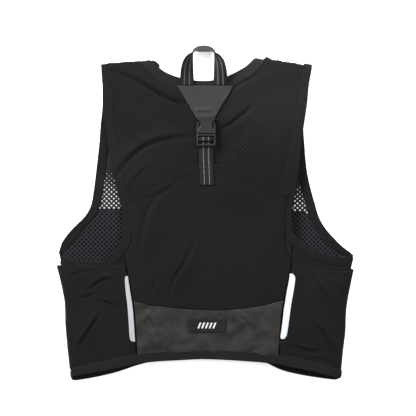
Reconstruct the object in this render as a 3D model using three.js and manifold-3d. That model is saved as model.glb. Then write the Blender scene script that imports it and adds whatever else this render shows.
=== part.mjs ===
import * as THREE from 'three';
import Module from 'manifold-3d';
import { mergeVertices } from 'three/addons/utils/BufferGeometryUtils.js';

// Running hydration vest lying flat, front down and back up, shoulders towards +Y.
// Millimetres. Plan tables hold x as a share of halfWidth and y as a share of bodyLength,
// measured from the centre line and from the lowest point of the hem.

// Body of the vest
const halfWidth = 208;
const bodyLength = 445;
const clothWall = 1.2;
const seamGap = 0.4;
const edgeGap = 0.7;
const foldGap = 1.5;
const hollowHeight = 11;
const foldReach = 5;
const pocketEase = 5;
const pocketSwell = 2.6;
const creaseHeight = 2.6;
const creaseWidth = 13;
const underReach = 52;
const seamInset = 1.6;

// Bands, webbing and trim
const bindingWall = 2;
const neckBindingWidth = 14;
const armholeBindingWidth = 11;
const hemBindingWidth = 11;
const webbingWidth = 20;
const webbingWall = 1.6;
const zipWidth = 12;
const stripWall = 1;
const patchWidth = 53;
const patchLength = 18;
const patchWall = 1;

// Grab loop, tab and buckle
const loopSpread = 46.5;
const loopRise = 52.2;
const loopTwist = 114;
const loopDrop = 11.5;
const tabWall = 1.5;
const tabTopWidth = 77;
const tabEndWidth = 23;
const buckleWidth = 26.4;
const socketWaist = 17;
const socketWall = 8;
const socketLength = 22;
const plugLength = 16.4;
const plugWall = 3.5;
const frameBar = 2.6;
const frameSide = 2.4;
const barSize = 2.4;
const barInset = 6.2;
const frameCorner = 2;
const socketFlare = 0.4;
const socketStep = 0.8;

// Places along the centre line, as shares of bodyLength, and across it, of halfWidth
const loopOut = -0.012;
const tabTopUp = 0.925;
const tabEndUp = 0.823;
const tailEndUp = 0.613;
const underEndUp = 0.686;
const closureOut = 0.004;
const patchUp = 0.1745;
const patchOut = 0.01;

// Rows over which the cloth changes its form, as shares of bodyLength
const rowsWhere = {
  foldOpens: { low: 0.4, high: 0.46 },
  frontLeavesFold: { low: 0.4, high: 0.42 },
  frontTurns: { low: 0.41, high: 0.5 },
  frontIsBare: { low: 0.555, high: 0.63 },
  backTurns: { low: 0.46, high: 0.52 },
  backMeetsBand: { low: 0.44, high: 0.47 },
  pocketMeetsBand: { low: 0.38, high: 0.43 },
};

// Free edge of the front cloth in the armholes, from the side fold to the shoulder
const armholeFront = [
  { y: 0.395, left: 0.979, right: 0.988 },
  { y: 0.421, left: 0.973, right: 0.912 },
  { y: 0.44, left: 0.956, right: 0.872 },
  { y: 0.478, left: 0.889, right: 0.798 },
  { y: 0.516, left: 0.805, right: 0.752 },
  { y: 0.547, left: 0.768, right: 0.734 },
  { y: 0.579, left: 0.754, right: 0.714 },
  { y: 0.654, left: 0.734, right: 0.677 },
  { y: 0.755, left: 0.71, right: 0.657 },
  { y: 0.802, left: 0.704, right: 0.652 },
  { y: 0.849, left: 0.692, right: 0.663 },
  { y: 0.912, left: 0.69, right: 0.684 },
  { y: 0.994, left: 0.704, right: 0.721 },
];

// Side edge of the back: the seam to the side panel up to y 0.45, then the armhole edge
const backEdge = [
  { y: 0.04, left: 0.458, right: 0.486 },
  { y: 0.126, left: 0.468, right: 0.502 },
  { y: 0.189, left: 0.475, right: 0.508 },
  { y: 0.252, left: 0.488, right: 0.529 },
  { y: 0.327, left: 0.519, right: 0.564 },
  { y: 0.377, left: 0.538, right: 0.578 },
  { y: 0.459, left: 0.547, right: 0.58 },
  { y: 0.525, left: 0.557, right: 0.577 },
  { y: 0.601, left: 0.594, right: 0.604 },
  { y: 0.692, left: 0.635, right: 0.627 },
  { y: 0.783, left: 0.659, right: 0.646 },
  { y: 0.833, left: 0.678, right: 0.662 },
  { y: 0.887, left: 0.687, right: 0.679 },
  { y: 0.994, left: 0.704, right: 0.721 },
];

// Armhole edge of the side panels, from the back seam to the side fold
const armholeSide = {
  left: [
    { x: 0.547, y: 0.459 },
    { x: 0.576, y: 0.429 },
    { x: 0.603, y: 0.41 },
    { x: 0.63, y: 0.39 },
    { x: 0.663, y: 0.376 },
    { x: 0.71, y: 0.373 },
    { x: 0.791, y: 0.374 },
    { x: 0.886, y: 0.379 },
    { x: 0.979, y: 0.395 },
  ],
  right: [
    { x: 0.58, y: 0.462 },
    { x: 0.6, y: 0.449 },
    { x: 0.661, y: 0.429 },
    { x: 0.737, y: 0.408 },
    { x: 0.815, y: 0.396 },
    { x: 0.919, y: 0.387 },
    { x: 0.988, y: 0.395 },
  ],
};

// Outermost line of the side folds, over the side pockets
const sideFold = [
  { y: 0, left: 0.9, right: 0.898 },
  { y: 0.107, left: 0.926, right: 0.921 },
  { y: 0.157, left: 0.939, right: 0.935 },
  { y: 0.226, left: 0.939, right: 0.941 },
  { y: 0.261, left: 0.949, right: 0.953 },
  { y: 0.327, left: 0.98, right: 0.982 },
  { y: 0.362, left: 1, right: 1 },
  { y: 0.384, left: 1.002, right: 1.012 },
  { y: 0.403, left: 1.006, right: 1.016 },
  { y: 0.44, left: 1.03, right: 1.03 },
];

// Hem lines of the back and of the front, across the vest
const backHem = [
  { x: -0.906, y: 0.013 },
  { x: -0.704, y: 0.031 },
  { x: -0.455, y: 0.055 },
  { x: -0.158, y: 0.066 },
  { x: 0, y: 0.069 },
  { x: 0.286, y: 0.062 },
  { x: 0.502, y: 0.052 },
  { x: 0.737, y: 0.028 },
  { x: 0.912, y: 0.005 },
];
const frontHem = [
  { x: -0.906, y: 0.005 },
  { x: -0.845, y: 0.003 },
  { x: -0.63, y: 0.022 },
  { x: -0.441, y: 0.05 },
  { x: 0, y: 0.08 },
  { x: 0.394, y: 0.057 },
  { x: 0.502, y: 0.035 },
  { x: 0.663, y: 0.016 },
  { x: 0.912, y: 0.001 },
];

// Shoulder folds across the vest, and the neck edges of the back and the front
const shoulderLine = [
  { x: -0.717, y: 0.993 },
  { x: -0.576, y: 0.999 },
  { x: -0.374, y: 1.006 },
  { x: 0, y: 1.01 },
  { x: 0.347, y: 1.012 },
  { x: 0.502, y: 1.004 },
  { x: 0.731, y: 0.986 },
];
const backNeck = [
  { x: -0.374, y: 1.006 },
  { x: -0.33, y: 0.99 },
  { x: -0.286, y: 0.972 },
  { x: -0.192, y: 0.953 },
  { x: -0.091, y: 0.943 },
  { x: 0, y: 0.94 },
  { x: 0.084, y: 0.945 },
  { x: 0.178, y: 0.961 },
  { x: 0.286, y: 0.991 },
  { x: 0.347, y: 1.012 },
];
const frontNeck = [
  { x: -0.374, y: 1.006 },
  { x: -0.34, y: 0.969 },
  { x: -0.286, y: 0.931 },
  { x: -0.199, y: 0.906 },
  { x: 0, y: 0.892 },
  { x: 0.19, y: 0.907 },
  { x: 0.27, y: 0.935 },
  { x: 0.32, y: 0.975 },
  { x: 0.347, y: 1.012 },
];

// Mouth of the back pocket, the seam above the lower panel, and the side pocket mouths
const pocketMouth = [
  { x: -0.582, y: 0.569 },
  { x: -0.396, y: 0.612 },
  { x: -0.187, y: 0.648 },
  { x: -0.06, y: 0.674 },
  { x: 0.044, y: 0.68 },
  { x: 0.149, y: 0.67 },
  { x: 0.394, y: 0.615 },
  { x: 0.616, y: 0.575 },
];
const panelSeam = [
  { x: -0.53, y: 0.258 },
  { x: -0.374, y: 0.239 },
  { x: 0.03, y: 0.222 },
  { x: 0.322, y: 0.232 },
  { x: 0.549, y: 0.256 },
];
const sideMouth = {
  left: [
    { x: 0.52, y: 0.367 },
    { x: 0.636, y: 0.362 },
    { x: 0.892, y: 0.364 },
    { x: 1.013, y: 0.361 },
  ],
  right: [
    { x: 0.56, y: 0.372 },
    { x: 0.63, y: 0.362 },
    { x: 0.774, y: 0.348 },
    { x: 0.987, y: 0.344 },
    { x: 1.02, y: 0.35 },
  ],
};

// Outer edge of the flask pockets on the fronts, and the lines of the reflective strips
const flaskEdge = [
  { y: 0.13, left: 0.64, right: 0.64 },
  { y: 0.366, left: 0.645, right: 0.645 },
  { y: 0.395, left: 0.85, right: 0.82 },
  { y: 0.453, left: 0.82, right: 0.73 },
  { y: 0.497, left: 0.76, right: 0.69 },
  { y: 0.53, left: 0.7, right: 0.65 },
];
const stripLine = [
  { y: 0.127, leftIn: 0.477, leftOut: 0.503, rightIn: 0.506, rightOut: 0.533 },
  { y: 0.151, leftIn: 0.474, leftOut: 0.517, rightIn: 0.505, rightOut: 0.553 },
  { y: 0.236, leftIn: 0.496, leftOut: 0.535, rightIn: 0.531, rightOut: 0.575 },
  { y: 0.283, leftIn: 0.512, leftOut: 0.544, rightIn: 0.552, rightOut: 0.59 },
  { y: 0.334, leftIn: 0.53, leftOut: 0.546, rightIn: 0.566, rightOut: 0.588 },
];

// Half of the grab loop from a foot to its top and just past it, along its length: half the
// spread, the rise and the turn about its length, as shares of the sizes above
const loopPath = [
  { s: 0, out: 1, up: 0, turn: 0 },
  { s: 0.2, out: 1, up: 0.25, turn: 0.14 },
  { s: 0.345, out: 0.994, up: 0.429, turn: 0.245 },
  { s: 0.474, out: 0.976, up: 0.59, turn: 0.325 },
  { s: 0.577, out: 0.892, up: 0.713, turn: 0.48 },
  { s: 0.717, out: 0.699, up: 0.863, turn: 0.71 },
  { s: 0.848, out: 0.416, up: 0.962, turn: 0.918 },
  { s: 1, out: 0, up: 1, turn: 1 },
  { s: 1.152, out: -0.416, up: 0.962, turn: 0.918 },
];

// Height of the back pocket and lower panel over the back, as a share of pocketSwell
const pocketFill = [
  { y: 0.07, fill: 0 },
  { y: 0.24, fill: 0.55 },
  { y: 0.42, fill: 1 },
  { y: 0.6, fill: 0.6 },
  { y: 0.68, fill: 0.35 },
];

// How the back cloth stands over the front: shares of hollowHeight at the centre line,
// and how much of it is lost by the side fold
const swell = [
  { y: 0, middle: 0.72, drop: 0.24 },
  { y: 0.25, middle: 0.95, drop: 0.45 },
  { y: 0.42, middle: 1, drop: 0.5 },
  { y: 0.6, middle: 1, drop: 0.85 },
  { y: 0.8, middle: 0.92, drop: 0.95 },
  { y: 1.02, middle: 0.68, drop: 0.55 },
];

// Main creases: ends in plan, height as a share of creaseHeight, width of creaseWidth
const backCreases = [
  { x0: -0.63, y0: 0.97, x1: -0.18, y1: 0.862, height: 0.9, width: 1 },
  { x0: -0.6, y0: 0.655, x1: -0.13, y1: 0.768, height: 1, width: 1.1 },
  { x0: 0.15, y0: 0.81, x1: 0.32, y1: 0.865, height: 0.6, width: 0.8 },
];
const pocketCreases = [
  { x0: -0.23, y0: 0.6, x1: -0.43, y1: 0.4, height: 0.8, width: 1 },
  { x0: -0.06, y0: 0.45, x1: -0.24, y1: 0.28, height: 0.8, width: 1 },
  { x0: 0.15, y0: 0.63, x1: 0.26, y1: 0.54, height: 0.5, width: 0.9 },
  { x0: 0.39, y0: 0.52, x1: 0.48, y1: 0.42, height: 0.5, width: 0.9 },
];
const sideCreases = {
  left: [
    { x0: 0.82, y0: 0.29, x1: 0.6, y1: 0.322, height: 0.8, width: 0.8 },
    { x0: 0.86, y0: 0.11, x1: 0.7, y1: 0.215, height: 0.8, width: 0.9 },
  ],
  right: [
    { x0: 0.7, y0: 0.33, x1: 0.84, y1: 0.24, height: 0.8, width: 0.8 },
    { x0: 0.72, y0: 0.185, x1: 0.88, y1: 0.09, height: 0.8, width: 0.9 },
  ],
};

// Shape of the curves: how creases fade, how folds blend and how far the pockets puff out
const creaseFade = 0.08;
const blendReach = 3 * foldReach;
const puffShare = 0.6;

const sides = { left: -1, right: 1 };
const layer = clothWall + seamGap;
const floorHeight = clothWall / 2;
const pocketedHeight = floorHeight + layer;
const bareHeight = bindingWall / 2;
const pocketReach = foldReach + pocketEase;

const cloth = { color: 0x252525, roughness: 0.92, metalness: 0 };
const stretch = { color: 0x222222, roughness: 0.9, metalness: 0 };
const mesh = { color: 0x34343c, roughness: 0.95, metalness: 0 };
const binding = { color: 0x2c2b29, roughness: 0.9, metalness: 0 };
const ripstop = { color: 0x3e3b38, roughness: 0.8, metalness: 0 };
const webbing = { color: 0x3a3835, roughness: 0.85, metalness: 0 };
const coated = { color: 0x4a4a48, roughness: 0.6, metalness: 0 };
const moulded = { color: 0x3c3c3e, roughness: 0.45, metalness: 0 };
const reflective = { color: 0xe6e8ea, roughness: 0.4, metalness: 0.1 };

const vest = new THREE.Group();

function addPiece(name, geometry, finish) {
  geometry.computeVertexNormals();
  const piece = new THREE.Mesh(geometry, new THREE.MeshStandardMaterial(finish));
  piece.name = name;
  vest.add(piece);
  return piece;
}

function smooth(low, high, at) {
  return THREE.MathUtils.smoothstep(at, low, high);
}

function passed(rows, y) {
  return smooth(rows.low, rows.high, y / bodyLength);
}

// Value of a column between the rows of a table, on a smooth curve through them
function readTable(table, key, at, column) {
  const last = table.length - 1;
  const place = THREE.MathUtils.clamp(at, table[0][key], table[last][key]);
  let i = 0;
  while (i < last - 1 && place > table[i + 1][key]) i += 1;
  const slope = (k) => {
    const low = table[Math.max(k - 1, 0)];
    const high = table[Math.min(k + 1, last)];
    return (high[column] - low[column]) / (high[key] - low[key]);
  };
  const span = table[i + 1][key] - table[i][key];
  const t = (place - table[i][key]) / span;
  const a = table[i][column];
  const b = table[i + 1][column];
  const bend = (1 - t) * slope(i) - t * slope(i + 1);
  return a + (b - a) * t * t * (3 - 2 * t) + span * t * (1 - t) * bend;
}

// Edges in millimetres, out from the centre line on the named side
function outAt(table, side, y) {
  return halfWidth * readTable(table, 'y', y / bodyLength, side);
}

function upAt(table, x) {
  return bodyLength * readTable(table, 'x', x / halfWidth, 'y');
}

function foldAt(side, y) {
  return outAt(sideFold, side, y) - pocketEase - clothWall / 2;
}

function sideOf(x) {
  return x < 0 ? 'left' : 'right';
}

// Share of a fold's height at a distance in from its outermost line
function roundShare(distance) {
  const t = THREE.MathUtils.clamp(distance / foldReach, 0, 1);
  return Math.sqrt(1 - (1 - t) ** 2);
}

// Distance to the nearer fold, of the sides or of the shoulders
function foldShare(x, y) {
  const byShoulder = roundShare(upAt(shoulderLine, x) - y);
  const open = passed(rowsWhere.foldOpens, y);
  const bySide = roundShare(foldAt(sideOf(x), y) - Math.abs(x) + open * foldReach);
  return Math.min(byShoulder, bySide);
}

function freeBackHeight(x, y) {
  const row = y / bodyLength;
  const middle = readTable(swell, 'y', row, 'middle');
  const drop = readTable(swell, 'y', row, 'drop') * (x / halfWidth) ** 2;
  return pocketedHeight + layer + hollowHeight * (middle - drop);
}

function freeFrontHeight(x, y) {
  const bare = passed(rowsWhere.frontIsBare, y);
  return THREE.MathUtils.lerp(pocketedHeight, bareHeight, bare);
}

function middleHeight(x, y) {
  return (freeBackHeight(x, y) + freeFrontHeight(x, y)) / 2;
}

// Middle surfaces of the back cloth and the front cloth, which meet on the folds
function backHeight(x, y) {
  const middle = middleHeight(x, y) + foldGap / 2;
  return middle + (freeBackHeight(x, y) - middle) * foldShare(x, y);
}

function frontHeight(x, y) {
  const middle = middleHeight(x, y) - foldGap / 2;
  return middle + (freeFrontHeight(x, y) - middle) * foldShare(x, y);
}

// Raised creases along straight lines that fade at both ends
function creaseRelief(creases, x, y) {
  let relief = 0;
  for (const crease of creases) {
    const start = new THREE.Vector2(crease.x0 * halfWidth, crease.y0 * bodyLength);
    const end = new THREE.Vector2(crease.x1 * halfWidth, crease.y1 * bodyLength);
    const run = end.clone().sub(start);
    const from = new THREE.Vector2(x, y).sub(start);
    const t = THREE.MathUtils.clamp(from.dot(run) / run.lengthSq(), 0, 1);
    const away = from.addScaledVector(run, -t).length() / (crease.width * creaseWidth);
    const fade = Math.sin(Math.PI * THREE.MathUtils.clamp(t, creaseFade, 1 - creaseFade));
    relief += crease.height * creaseHeight * fade * Math.exp(-away * away);
  }
  return relief;
}

// Closed sheet over a grid of (u, v) from 0 to 1, thickened evenly about its middle surface
function sheetSolid(columns, rows, wall, place, ring = false) {
  const across = ring ? columns : columns + 1;
  const middle = [];
  for (let j = 0; j <= rows; j += 1) {
    for (let i = 0; i < across; i += 1) middle.push(place(i / columns, j / rows));
  }
  const wrap = (i) => (ring ? (i + columns) % columns : THREE.MathUtils.clamp(i, 0, columns));
  const at = (i, j) => j * across + wrap(i);
  const positions = [];
  for (const lift of [wall / 2, -wall / 2]) {
    for (let j = 0; j <= rows; j += 1) {
      for (let i = 0; i < across; i += 1) {
        const right = middle[at(i + 1, j)].clone().sub(middle[at(i - 1, j)]);
        const up = middle[at(i, Math.min(j + 1, rows))].clone();
        up.sub(middle[at(i, Math.max(j - 1, 0))]);
        const normal = right.cross(up).normalize();
        positions.push(...middle[at(i, j)].clone().addScaledVector(normal, lift).toArray());
      }
    }
  }
  const under = across * (rows + 1);
  const faces = [];
  const quad = (a, b, c, d) => faces.push(a, b, c, a, c, d);
  for (let j = 0; j < rows; j += 1) {
    for (let i = 0; i < columns; i += 1) {
      const [a, b, c, d] = [at(i, j), at(i + 1, j), at(i + 1, j + 1), at(i, j + 1)];
      quad(a, b, c, d);
      quad(under + d, under + c, under + b, under + a);
    }
  }
  const wallFace = (a, b) => quad(under + a, under + b, b, a);
  for (let i = 0; i < columns; i += 1) {
    wallFace(at(i, 0), at(i + 1, 0));
    wallFace(at(i + 1, rows), at(i, rows));
  }
  for (let j = 0; j < rows && !ring; j += 1) {
    wallFace(at(columns, j), at(columns, j + 1));
    wallFace(at(0, j + 1), at(0, j));
  }
  const geometry = new THREE.BufferGeometry();
  geometry.setAttribute('position', new THREE.Float32BufferAttribute(positions, 3));
  geometry.setIndex(faces);
  return geometry;
}

// Grid steps that are even and then close up towards a fold, as distances from that fold
function stepsToFold(length, evenSteps, reach = foldReach) {
  const steps = [];
  for (let i = 0; i < evenSteps; i += 1) {
    steps.push(THREE.MathUtils.lerp(length, reach, i / evenSteps));
  }
  for (const turn of [90, 60, 30, 0]) {
    steps.push(reach * (1 - Math.cos(THREE.MathUtils.degToRad(turn))));
  }
  return steps;
}

// Lines that run beside an opening's edge: the edge, the band's inner line, and the two
// lines of a wider cutter. Each station has its place, its height and the way to the cloth.
const cutterReach = 16;
const cutterWall = 3;

function nearSideFold(x, y) {
  return 1 - smooth(foldReach, blendReach, foldAt(sideOf(x), y) - Math.abs(x));
}

function nearShoulder(x, y) {
  return 1 - smooth(foldReach, blendReach, upAt(shoulderLine, x) - y);
}

function bandRails(stations, width) {
  const offset = ({ x, y, toX, toY, height }, reach) => {
    const side = sideOf(x);
    const atSide = nearSideFold(x, y);
    const atTop = nearShoulder(x, y);
    const way = new THREE.Vector2(toX * (1 - atSide), toY * (1 - atTop)).normalize();
    const moved = new THREE.Vector2(x, y).addScaledVector(way, reach);
    moved.x += sides[side] * atSide * (foldAt(side, moved.y) - foldAt(side, y));
    moved.y += atTop * (upAt(shoulderLine, moved.x) - upAt(shoulderLine, x));
    return new THREE.Vector3(moved.x, moved.y, height(moved.x, moved.y));
  };
  return stations.map((station) => ({
    edge: offset(station, 0),
    inner: offset(station, width),
    cutOut: offset(station, -cutterReach),
    cutIn: offset(station, width + edgeGap),
  }));
}

// Spaces a closed list of rails evenly along the edge
function spaceRails(rails, count) {
  const lengths = [0];
  rails.forEach((rail, i) => {
    const next = rails[(i + 1) % rails.length];
    lengths.push(lengths[i] + rail.edge.distanceTo(next.edge));
  });
  const total = lengths[rails.length];
  const spaced = [];
  let i = 0;
  for (let k = 0; k < count; k += 1) {
    const goal = (total * k) / count;
    while (lengths[i + 1] < goal) i += 1;
    const t = (goal - lengths[i]) / (lengths[i + 1] - lengths[i]);
    const next = rails[(i + 1) % rails.length];
    const blend = {};
    for (const key of Object.keys(next)) {
      blend[key] = rails[i][key].clone().lerp(next[key], t);
    }
    spaced.push(blend);
  }
  return spaced;
}

function ringSolid(spaced, from, to, wall, rows) {
  return sheetSolid(spaced.length, rows, wall, (u, v) => {
    const rail = spaced[Math.round(u * spaced.length) % spaced.length];
    return rail[from].clone().lerp(rail[to], v);
  }, true);
}

function bandSolid(spaced) {
  return ringSolid(spaced, 'edge', 'inner', bindingWall, 1);
}

// Stations of a line given by a function of t, with the cloth on its left or right hand
function lineStations(count, place, hand, height) {
  const stations = [];
  const step = 0.002;
  for (let k = 0; k < count; k += 1) {
    const t = (k + 0.5) / count;
    const point = place(t);
    const run = place(Math.min(t + step, 1)).sub(place(Math.max(t - step, 0))).normalize();
    stations.push({ x: point.x, y: point.y, toX: -hand * run.y, toY: hand * run.x, height });
  }
  return stations;
}

const denseCount = 160;

// Neck band: the back edge from left to right, then the front edge back to the left
function neckStations() {
  const line = (table, t) => {
    const ends = [table[0].x, table[table.length - 1].x];
    const share = THREE.MathUtils.lerp(ends[0], ends[1], (1 - Math.cos(Math.PI * t)) / 2);
    return new THREE.Vector2(share * halfWidth, upAt(table, share * halfWidth));
  };
  return [
    ...lineStations(denseCount, (t) => line(backNeck, t), -1, backHeight),
    ...lineStations(denseCount, (t) => line(frontNeck, 1 - t), 1, frontHeight),
  ];
}

// Armhole band: down the front edge, round the side fold, along the side panel and up the back
function armholeStations(side) {
  const sign = sides[side];
  const table = armholeSide[side];
  const first = table[0];
  const last = table[table.length - 1];
  const shoulder = armholeFront[armholeFront.length - 1].y;
  const down = (t) => {
    const y = bodyLength * THREE.MathUtils.lerp(shoulder, last.y, t);
    return new THREE.Vector2(sign * outAt(armholeFront, side, y), y);
  };
  const inwards = (t) => {
    const share = THREE.MathUtils.lerp(last.x, first.x, t);
    const y = bodyLength * readTable(table, 'x', share, 'y');
    return new THREE.Vector2(sign * share * halfWidth, y);
  };
  const up = (t) => {
    const y = bodyLength * THREE.MathUtils.lerp(first.y, shoulder, t);
    return new THREE.Vector2(sign * outAt(backEdge, side, y), y);
  };
  const front = lineStations(denseCount, down, -sign, frontHeight);
  for (const station of front) {
    const turn = (1 - passed(rowsWhere.frontTurns, station.y)) * Math.PI / 2;
    station.toX = -sign * Math.cos(turn);
    station.toY = -Math.sin(turn);
  }
  const under = lineStations(denseCount / 2, inwards, sign, backHeight);
  const back = lineStations(denseCount, up, sign, backHeight);
  for (const station of [...under, ...back]) {
    const turn = passed(rowsWhere.backTurns, station.y);
    station.toX = THREE.MathUtils.lerp(station.toX, -sign, turn);
    station.toY *= 1 - turn;
  }
  const all = [...front, ...under, ...back];
  return sign < 0 ? all.reverse() : all;
}

// Hem band: the back hem from left to right, then the front hem back to the left
function hemStations() {
  const line = (table, t) => {
    const share = Math.sin(Math.PI * (t - 0.5));
    const side = share < 0 ? 'left' : 'right';
    const x = share * foldAt(side, upAt(table, share * halfWidth));
    return new THREE.Vector2(x, upAt(table, x));
  };
  return [
    ...lineStations(denseCount, (t) => line(frontHem, t), 1, frontHeight),
    ...lineStations(denseCount, (t) => line(backHem, 1 - t), -1, backHeight),
  ];
}

const neckRails = spaceRails(bandRails(neckStations(), neckBindingWidth), 52);
const hemRails = spaceRails(bandRails(hemStations(), hemBindingWidth), 72);
const armholeRails = {
  left: spaceRails(bandRails(armholeStations('left'), armholeBindingWidth), 64),
  right: spaceRails(bandRails(armholeStations('right'), armholeBindingWidth), 64),
};

// Solids for cutting, made from closed geometries
const wasm = await Module();
wasm.setup();

function toSolid(geometry) {
  const bare = new THREE.BufferGeometry();
  bare.setAttribute('position', geometry.getAttribute('position'));
  bare.setIndex(geometry.getIndex());
  const merged = mergeVertices(bare);
  const vertProperties = new Float32Array(merged.getAttribute('position').array);
  const triVerts = new Uint32Array(merged.getIndex().array);
  return new wasm.Manifold(new wasm.Mesh({ numProp: 3, vertProperties, triVerts }));
}

function fromSolid(solid) {
  const data = solid.getMesh();
  const geometry = new THREE.BufferGeometry();
  geometry.setAttribute('position', new THREE.BufferAttribute(data.vertProperties, 3));
  geometry.setIndex(new THREE.BufferAttribute(data.triVerts, 1));
  return geometry;
}

function cutterSolid(spaced) {
  return toSolid(ringSolid(spaced, 'cutOut', 'cutIn', cutterWall, 1));
}

const cutters = {
  neck: cutterSolid(neckRails),
  hem: cutterSolid(hemRails),
  left: cutterSolid(armholeRails.left),
  right: cutterSolid(armholeRails.right),
};

// Trims cloth back to the bands round it, and keeps the cloth inside them
function trimTo(geometry, names) {
  let solid = toSolid(geometry);
  for (const name of names) solid = solid.subtract(cutters[name]);
  const bodies = solid.decompose().sort((a, b) => b.volume() - a.volume());
  return fromSolid(bodies[0]);
}

// Height at which a grid column meets an edge, found by repeating the step a few times
function meetEdge(first, acrossAt, edgeAt) {
  let y = first;
  for (let turn = 0; turn < 5; turn += 1) y = edgeAt(acrossAt(y));
  return y;
}

// Grid of cloth between two side lines, a lower line and an upper line
function clothGrid(columns, rows, lines, height) {
  return sheetSolid(columns, rows, clothWall, (u, v) => {
    const acrossAt = (y) => {
      const low = lines.left(y);
      const high = lines.right(y);
      if (lines.across) return lines.across(low, high, Math.round(u * columns));
      return THREE.MathUtils.lerp(low, high, u);
    };
    const top = meetEdge(bodyLength / 2, acrossAt, lines.top);
    const bottom = meetEdge(bodyLength / 2, acrossAt, lines.bottom);
    const steps = stepsToFold(top - bottom, rows - 3);
    const fall = lines.toShoulder ? steps[Math.round(v * rows)] : (1 - v) * (top - bottom);
    const y = top - fall;
    const x = acrossAt(y);
    return new THREE.Vector3(x, y, height(x, y));
  });
}

// Middle of a band, where the cloth is cut from
const bandHold = 0.4;

function shoulderOrNeck(neck, x) {
  const inside = x > neck[0].x * halfWidth && x < neck[neck.length - 1].x * halfWidth;
  const edge = upAt(neck, x) - bandHold * neckBindingWidth;
  return inside ? Math.min(edge, upAt(shoulderLine, x)) : upAt(shoulderLine, x);
}

function hemLine(hem, x) {
  return upAt(hem, x) + bandHold * hemBindingWidth;
}

// Fronts: mesh from the zip to the side fold, and from the hem to the shoulder fold
function frontPanel(side) {
  const sign = sides[side];
  const start = zipWidth / 2 + seamGap;
  const edge = (y) => {
    const band = outAt(armholeFront, side, y) - bandHold * armholeBindingWidth;
    const open = passed(rowsWhere.frontLeavesFold, y);
    return THREE.MathUtils.lerp(foldAt(side, y), Math.min(band, foldAt(side, y)), open);
  };
  const lines = {
    left: (y) => (sign < 0 ? -edge(y) : start),
    right: (y) => (sign < 0 ? -start : edge(y)),
    bottom: (x) => hemLine(frontHem, x),
    top: (x) => shoulderOrNeck(frontNeck, x),
    toShoulder: true,
  };
  return trimTo(clothGrid(9, 15, lines, frontHeight), ['neck', 'hem', side]);
}

// Back: from the hem to the shoulder folds and the neck band
function backPanel() {
  const edge = (side, y) => {
    const hold = bandHold * armholeBindingWidth * passed(rowsWhere.backMeetsBand, y);
    return outAt(backEdge, side, y) - seamGap / 2 - hold;
  };
  const lines = {
    left: (y) => -edge('left', y),
    right: (y) => edge('right', y),
    bottom: (x) => hemLine(backHem, x),
    top: (x) => shoulderOrNeck(backNeck, x),
    toShoulder: true,
  };
  const height = (x, y) => backHeight(x, y) + creaseRelief(backCreases, x, y);
  return trimTo(clothGrid(18, 17, lines, height), ['neck', 'hem', 'left', 'right']);
}

// Side panels: from the back seam to the side fold, under the side pockets
function sidePanel(side) {
  const sign = sides[side];
  const columns = 8;
  const seam = (y) => outAt(backEdge, side, y) + seamGap / 2;
  const fold = (y) => foldAt(side, y);
  const lines = {
    left: (y) => (sign < 0 ? -fold(y) : seam(y)),
    right: (y) => (sign < 0 ? -seam(y) : fold(y)),
    across: (low, high, i) => {
      const steps = stepsToFold(high - low, columns - 3);
      return sign < 0 ? low + steps[columns - i] : high - steps[i];
    },
    bottom: (x) => hemLine(backHem, x),
    top: (x) => {
      const share = Math.abs(x) / halfWidth;
      const edge = bodyLength * readTable(armholeSide[side], 'x', share, 'y');
      return edge - bandHold * armholeBindingWidth;
    },
  };
  return trimTo(clothGrid(columns, 7, lines, backHeight), ['hem', side]);
}

// Side pockets: over the side panel, round the side fold and back under the front
function sidePocket(side) {
  const sign = sides[side];
  const over = 6;
  const turns = 6;
  const under = 2;
  const columns = over + turns + under;
  const place = (s, v) => {
    const i = Math.round(s * columns);
    const inner = (y) => outAt(backEdge, side, y) + seamInset / 2;
    const centre = (y) => outAt(sideFold, side, y) - clothWall / 2 - pocketReach;
    const angle = Math.PI / 2 - (Math.PI * THREE.MathUtils.clamp(i - over, 0, turns)) / turns;
    const beyond = Math.max(i - over - turns, 0) / under;
    const outFor = (y) => {
      if (i < over) return THREE.MathUtils.lerp(inner(y), centre(y), i / over);
      return centre(y) + pocketReach * Math.cos(angle) - beyond * (underReach - pocketReach);
    };
    const mouth = sideMouth[side];
    const lastMouth = mouth[mouth.length - 1].x;
    const shareFor = (y) => (i > over + turns / 2 ? lastMouth : outFor(y) / halfWidth);
    let top = bodyLength / 3;
    for (let n = 0; n < 5; n += 1) top = bodyLength * readTable(mouth, 'x', shareFor(top), 'y');
    const hem = i > over + turns / 2 ? frontHem : backHem;
    let bottom = 0;
    for (let n = 0; n < 5; n += 1) {
      bottom = upAt(hem, sign * outFor(bottom)) + hemBindingWidth + edgeGap;
    }
    const y = THREE.MathUtils.lerp(bottom, top, v);
    const x = sign * outFor(y);
    const crest = sign * Math.min(centre(y), outFor(y));
    const roof = freeBackHeight(crest, y) + layer;
    const middle = (roof + floorHeight) / 2;
    let z = middle + (roof - middle) * Math.sin(angle);
    if (i < over) {
      const puff = Math.sin(Math.PI * v) * Math.sin((Math.PI * i) / over);
      z += pocketSwell * puffShare * puff + creaseRelief(sideCreases[side], Math.abs(x), y);
    }
    if (i > over + turns) z = floorHeight;
    return new THREE.Vector3(x, y, z);
  };
  return sheetSolid(columns, 8, clothWall, (u, v) => place(sign > 0 ? u : 1 - u, v));
}

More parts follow.
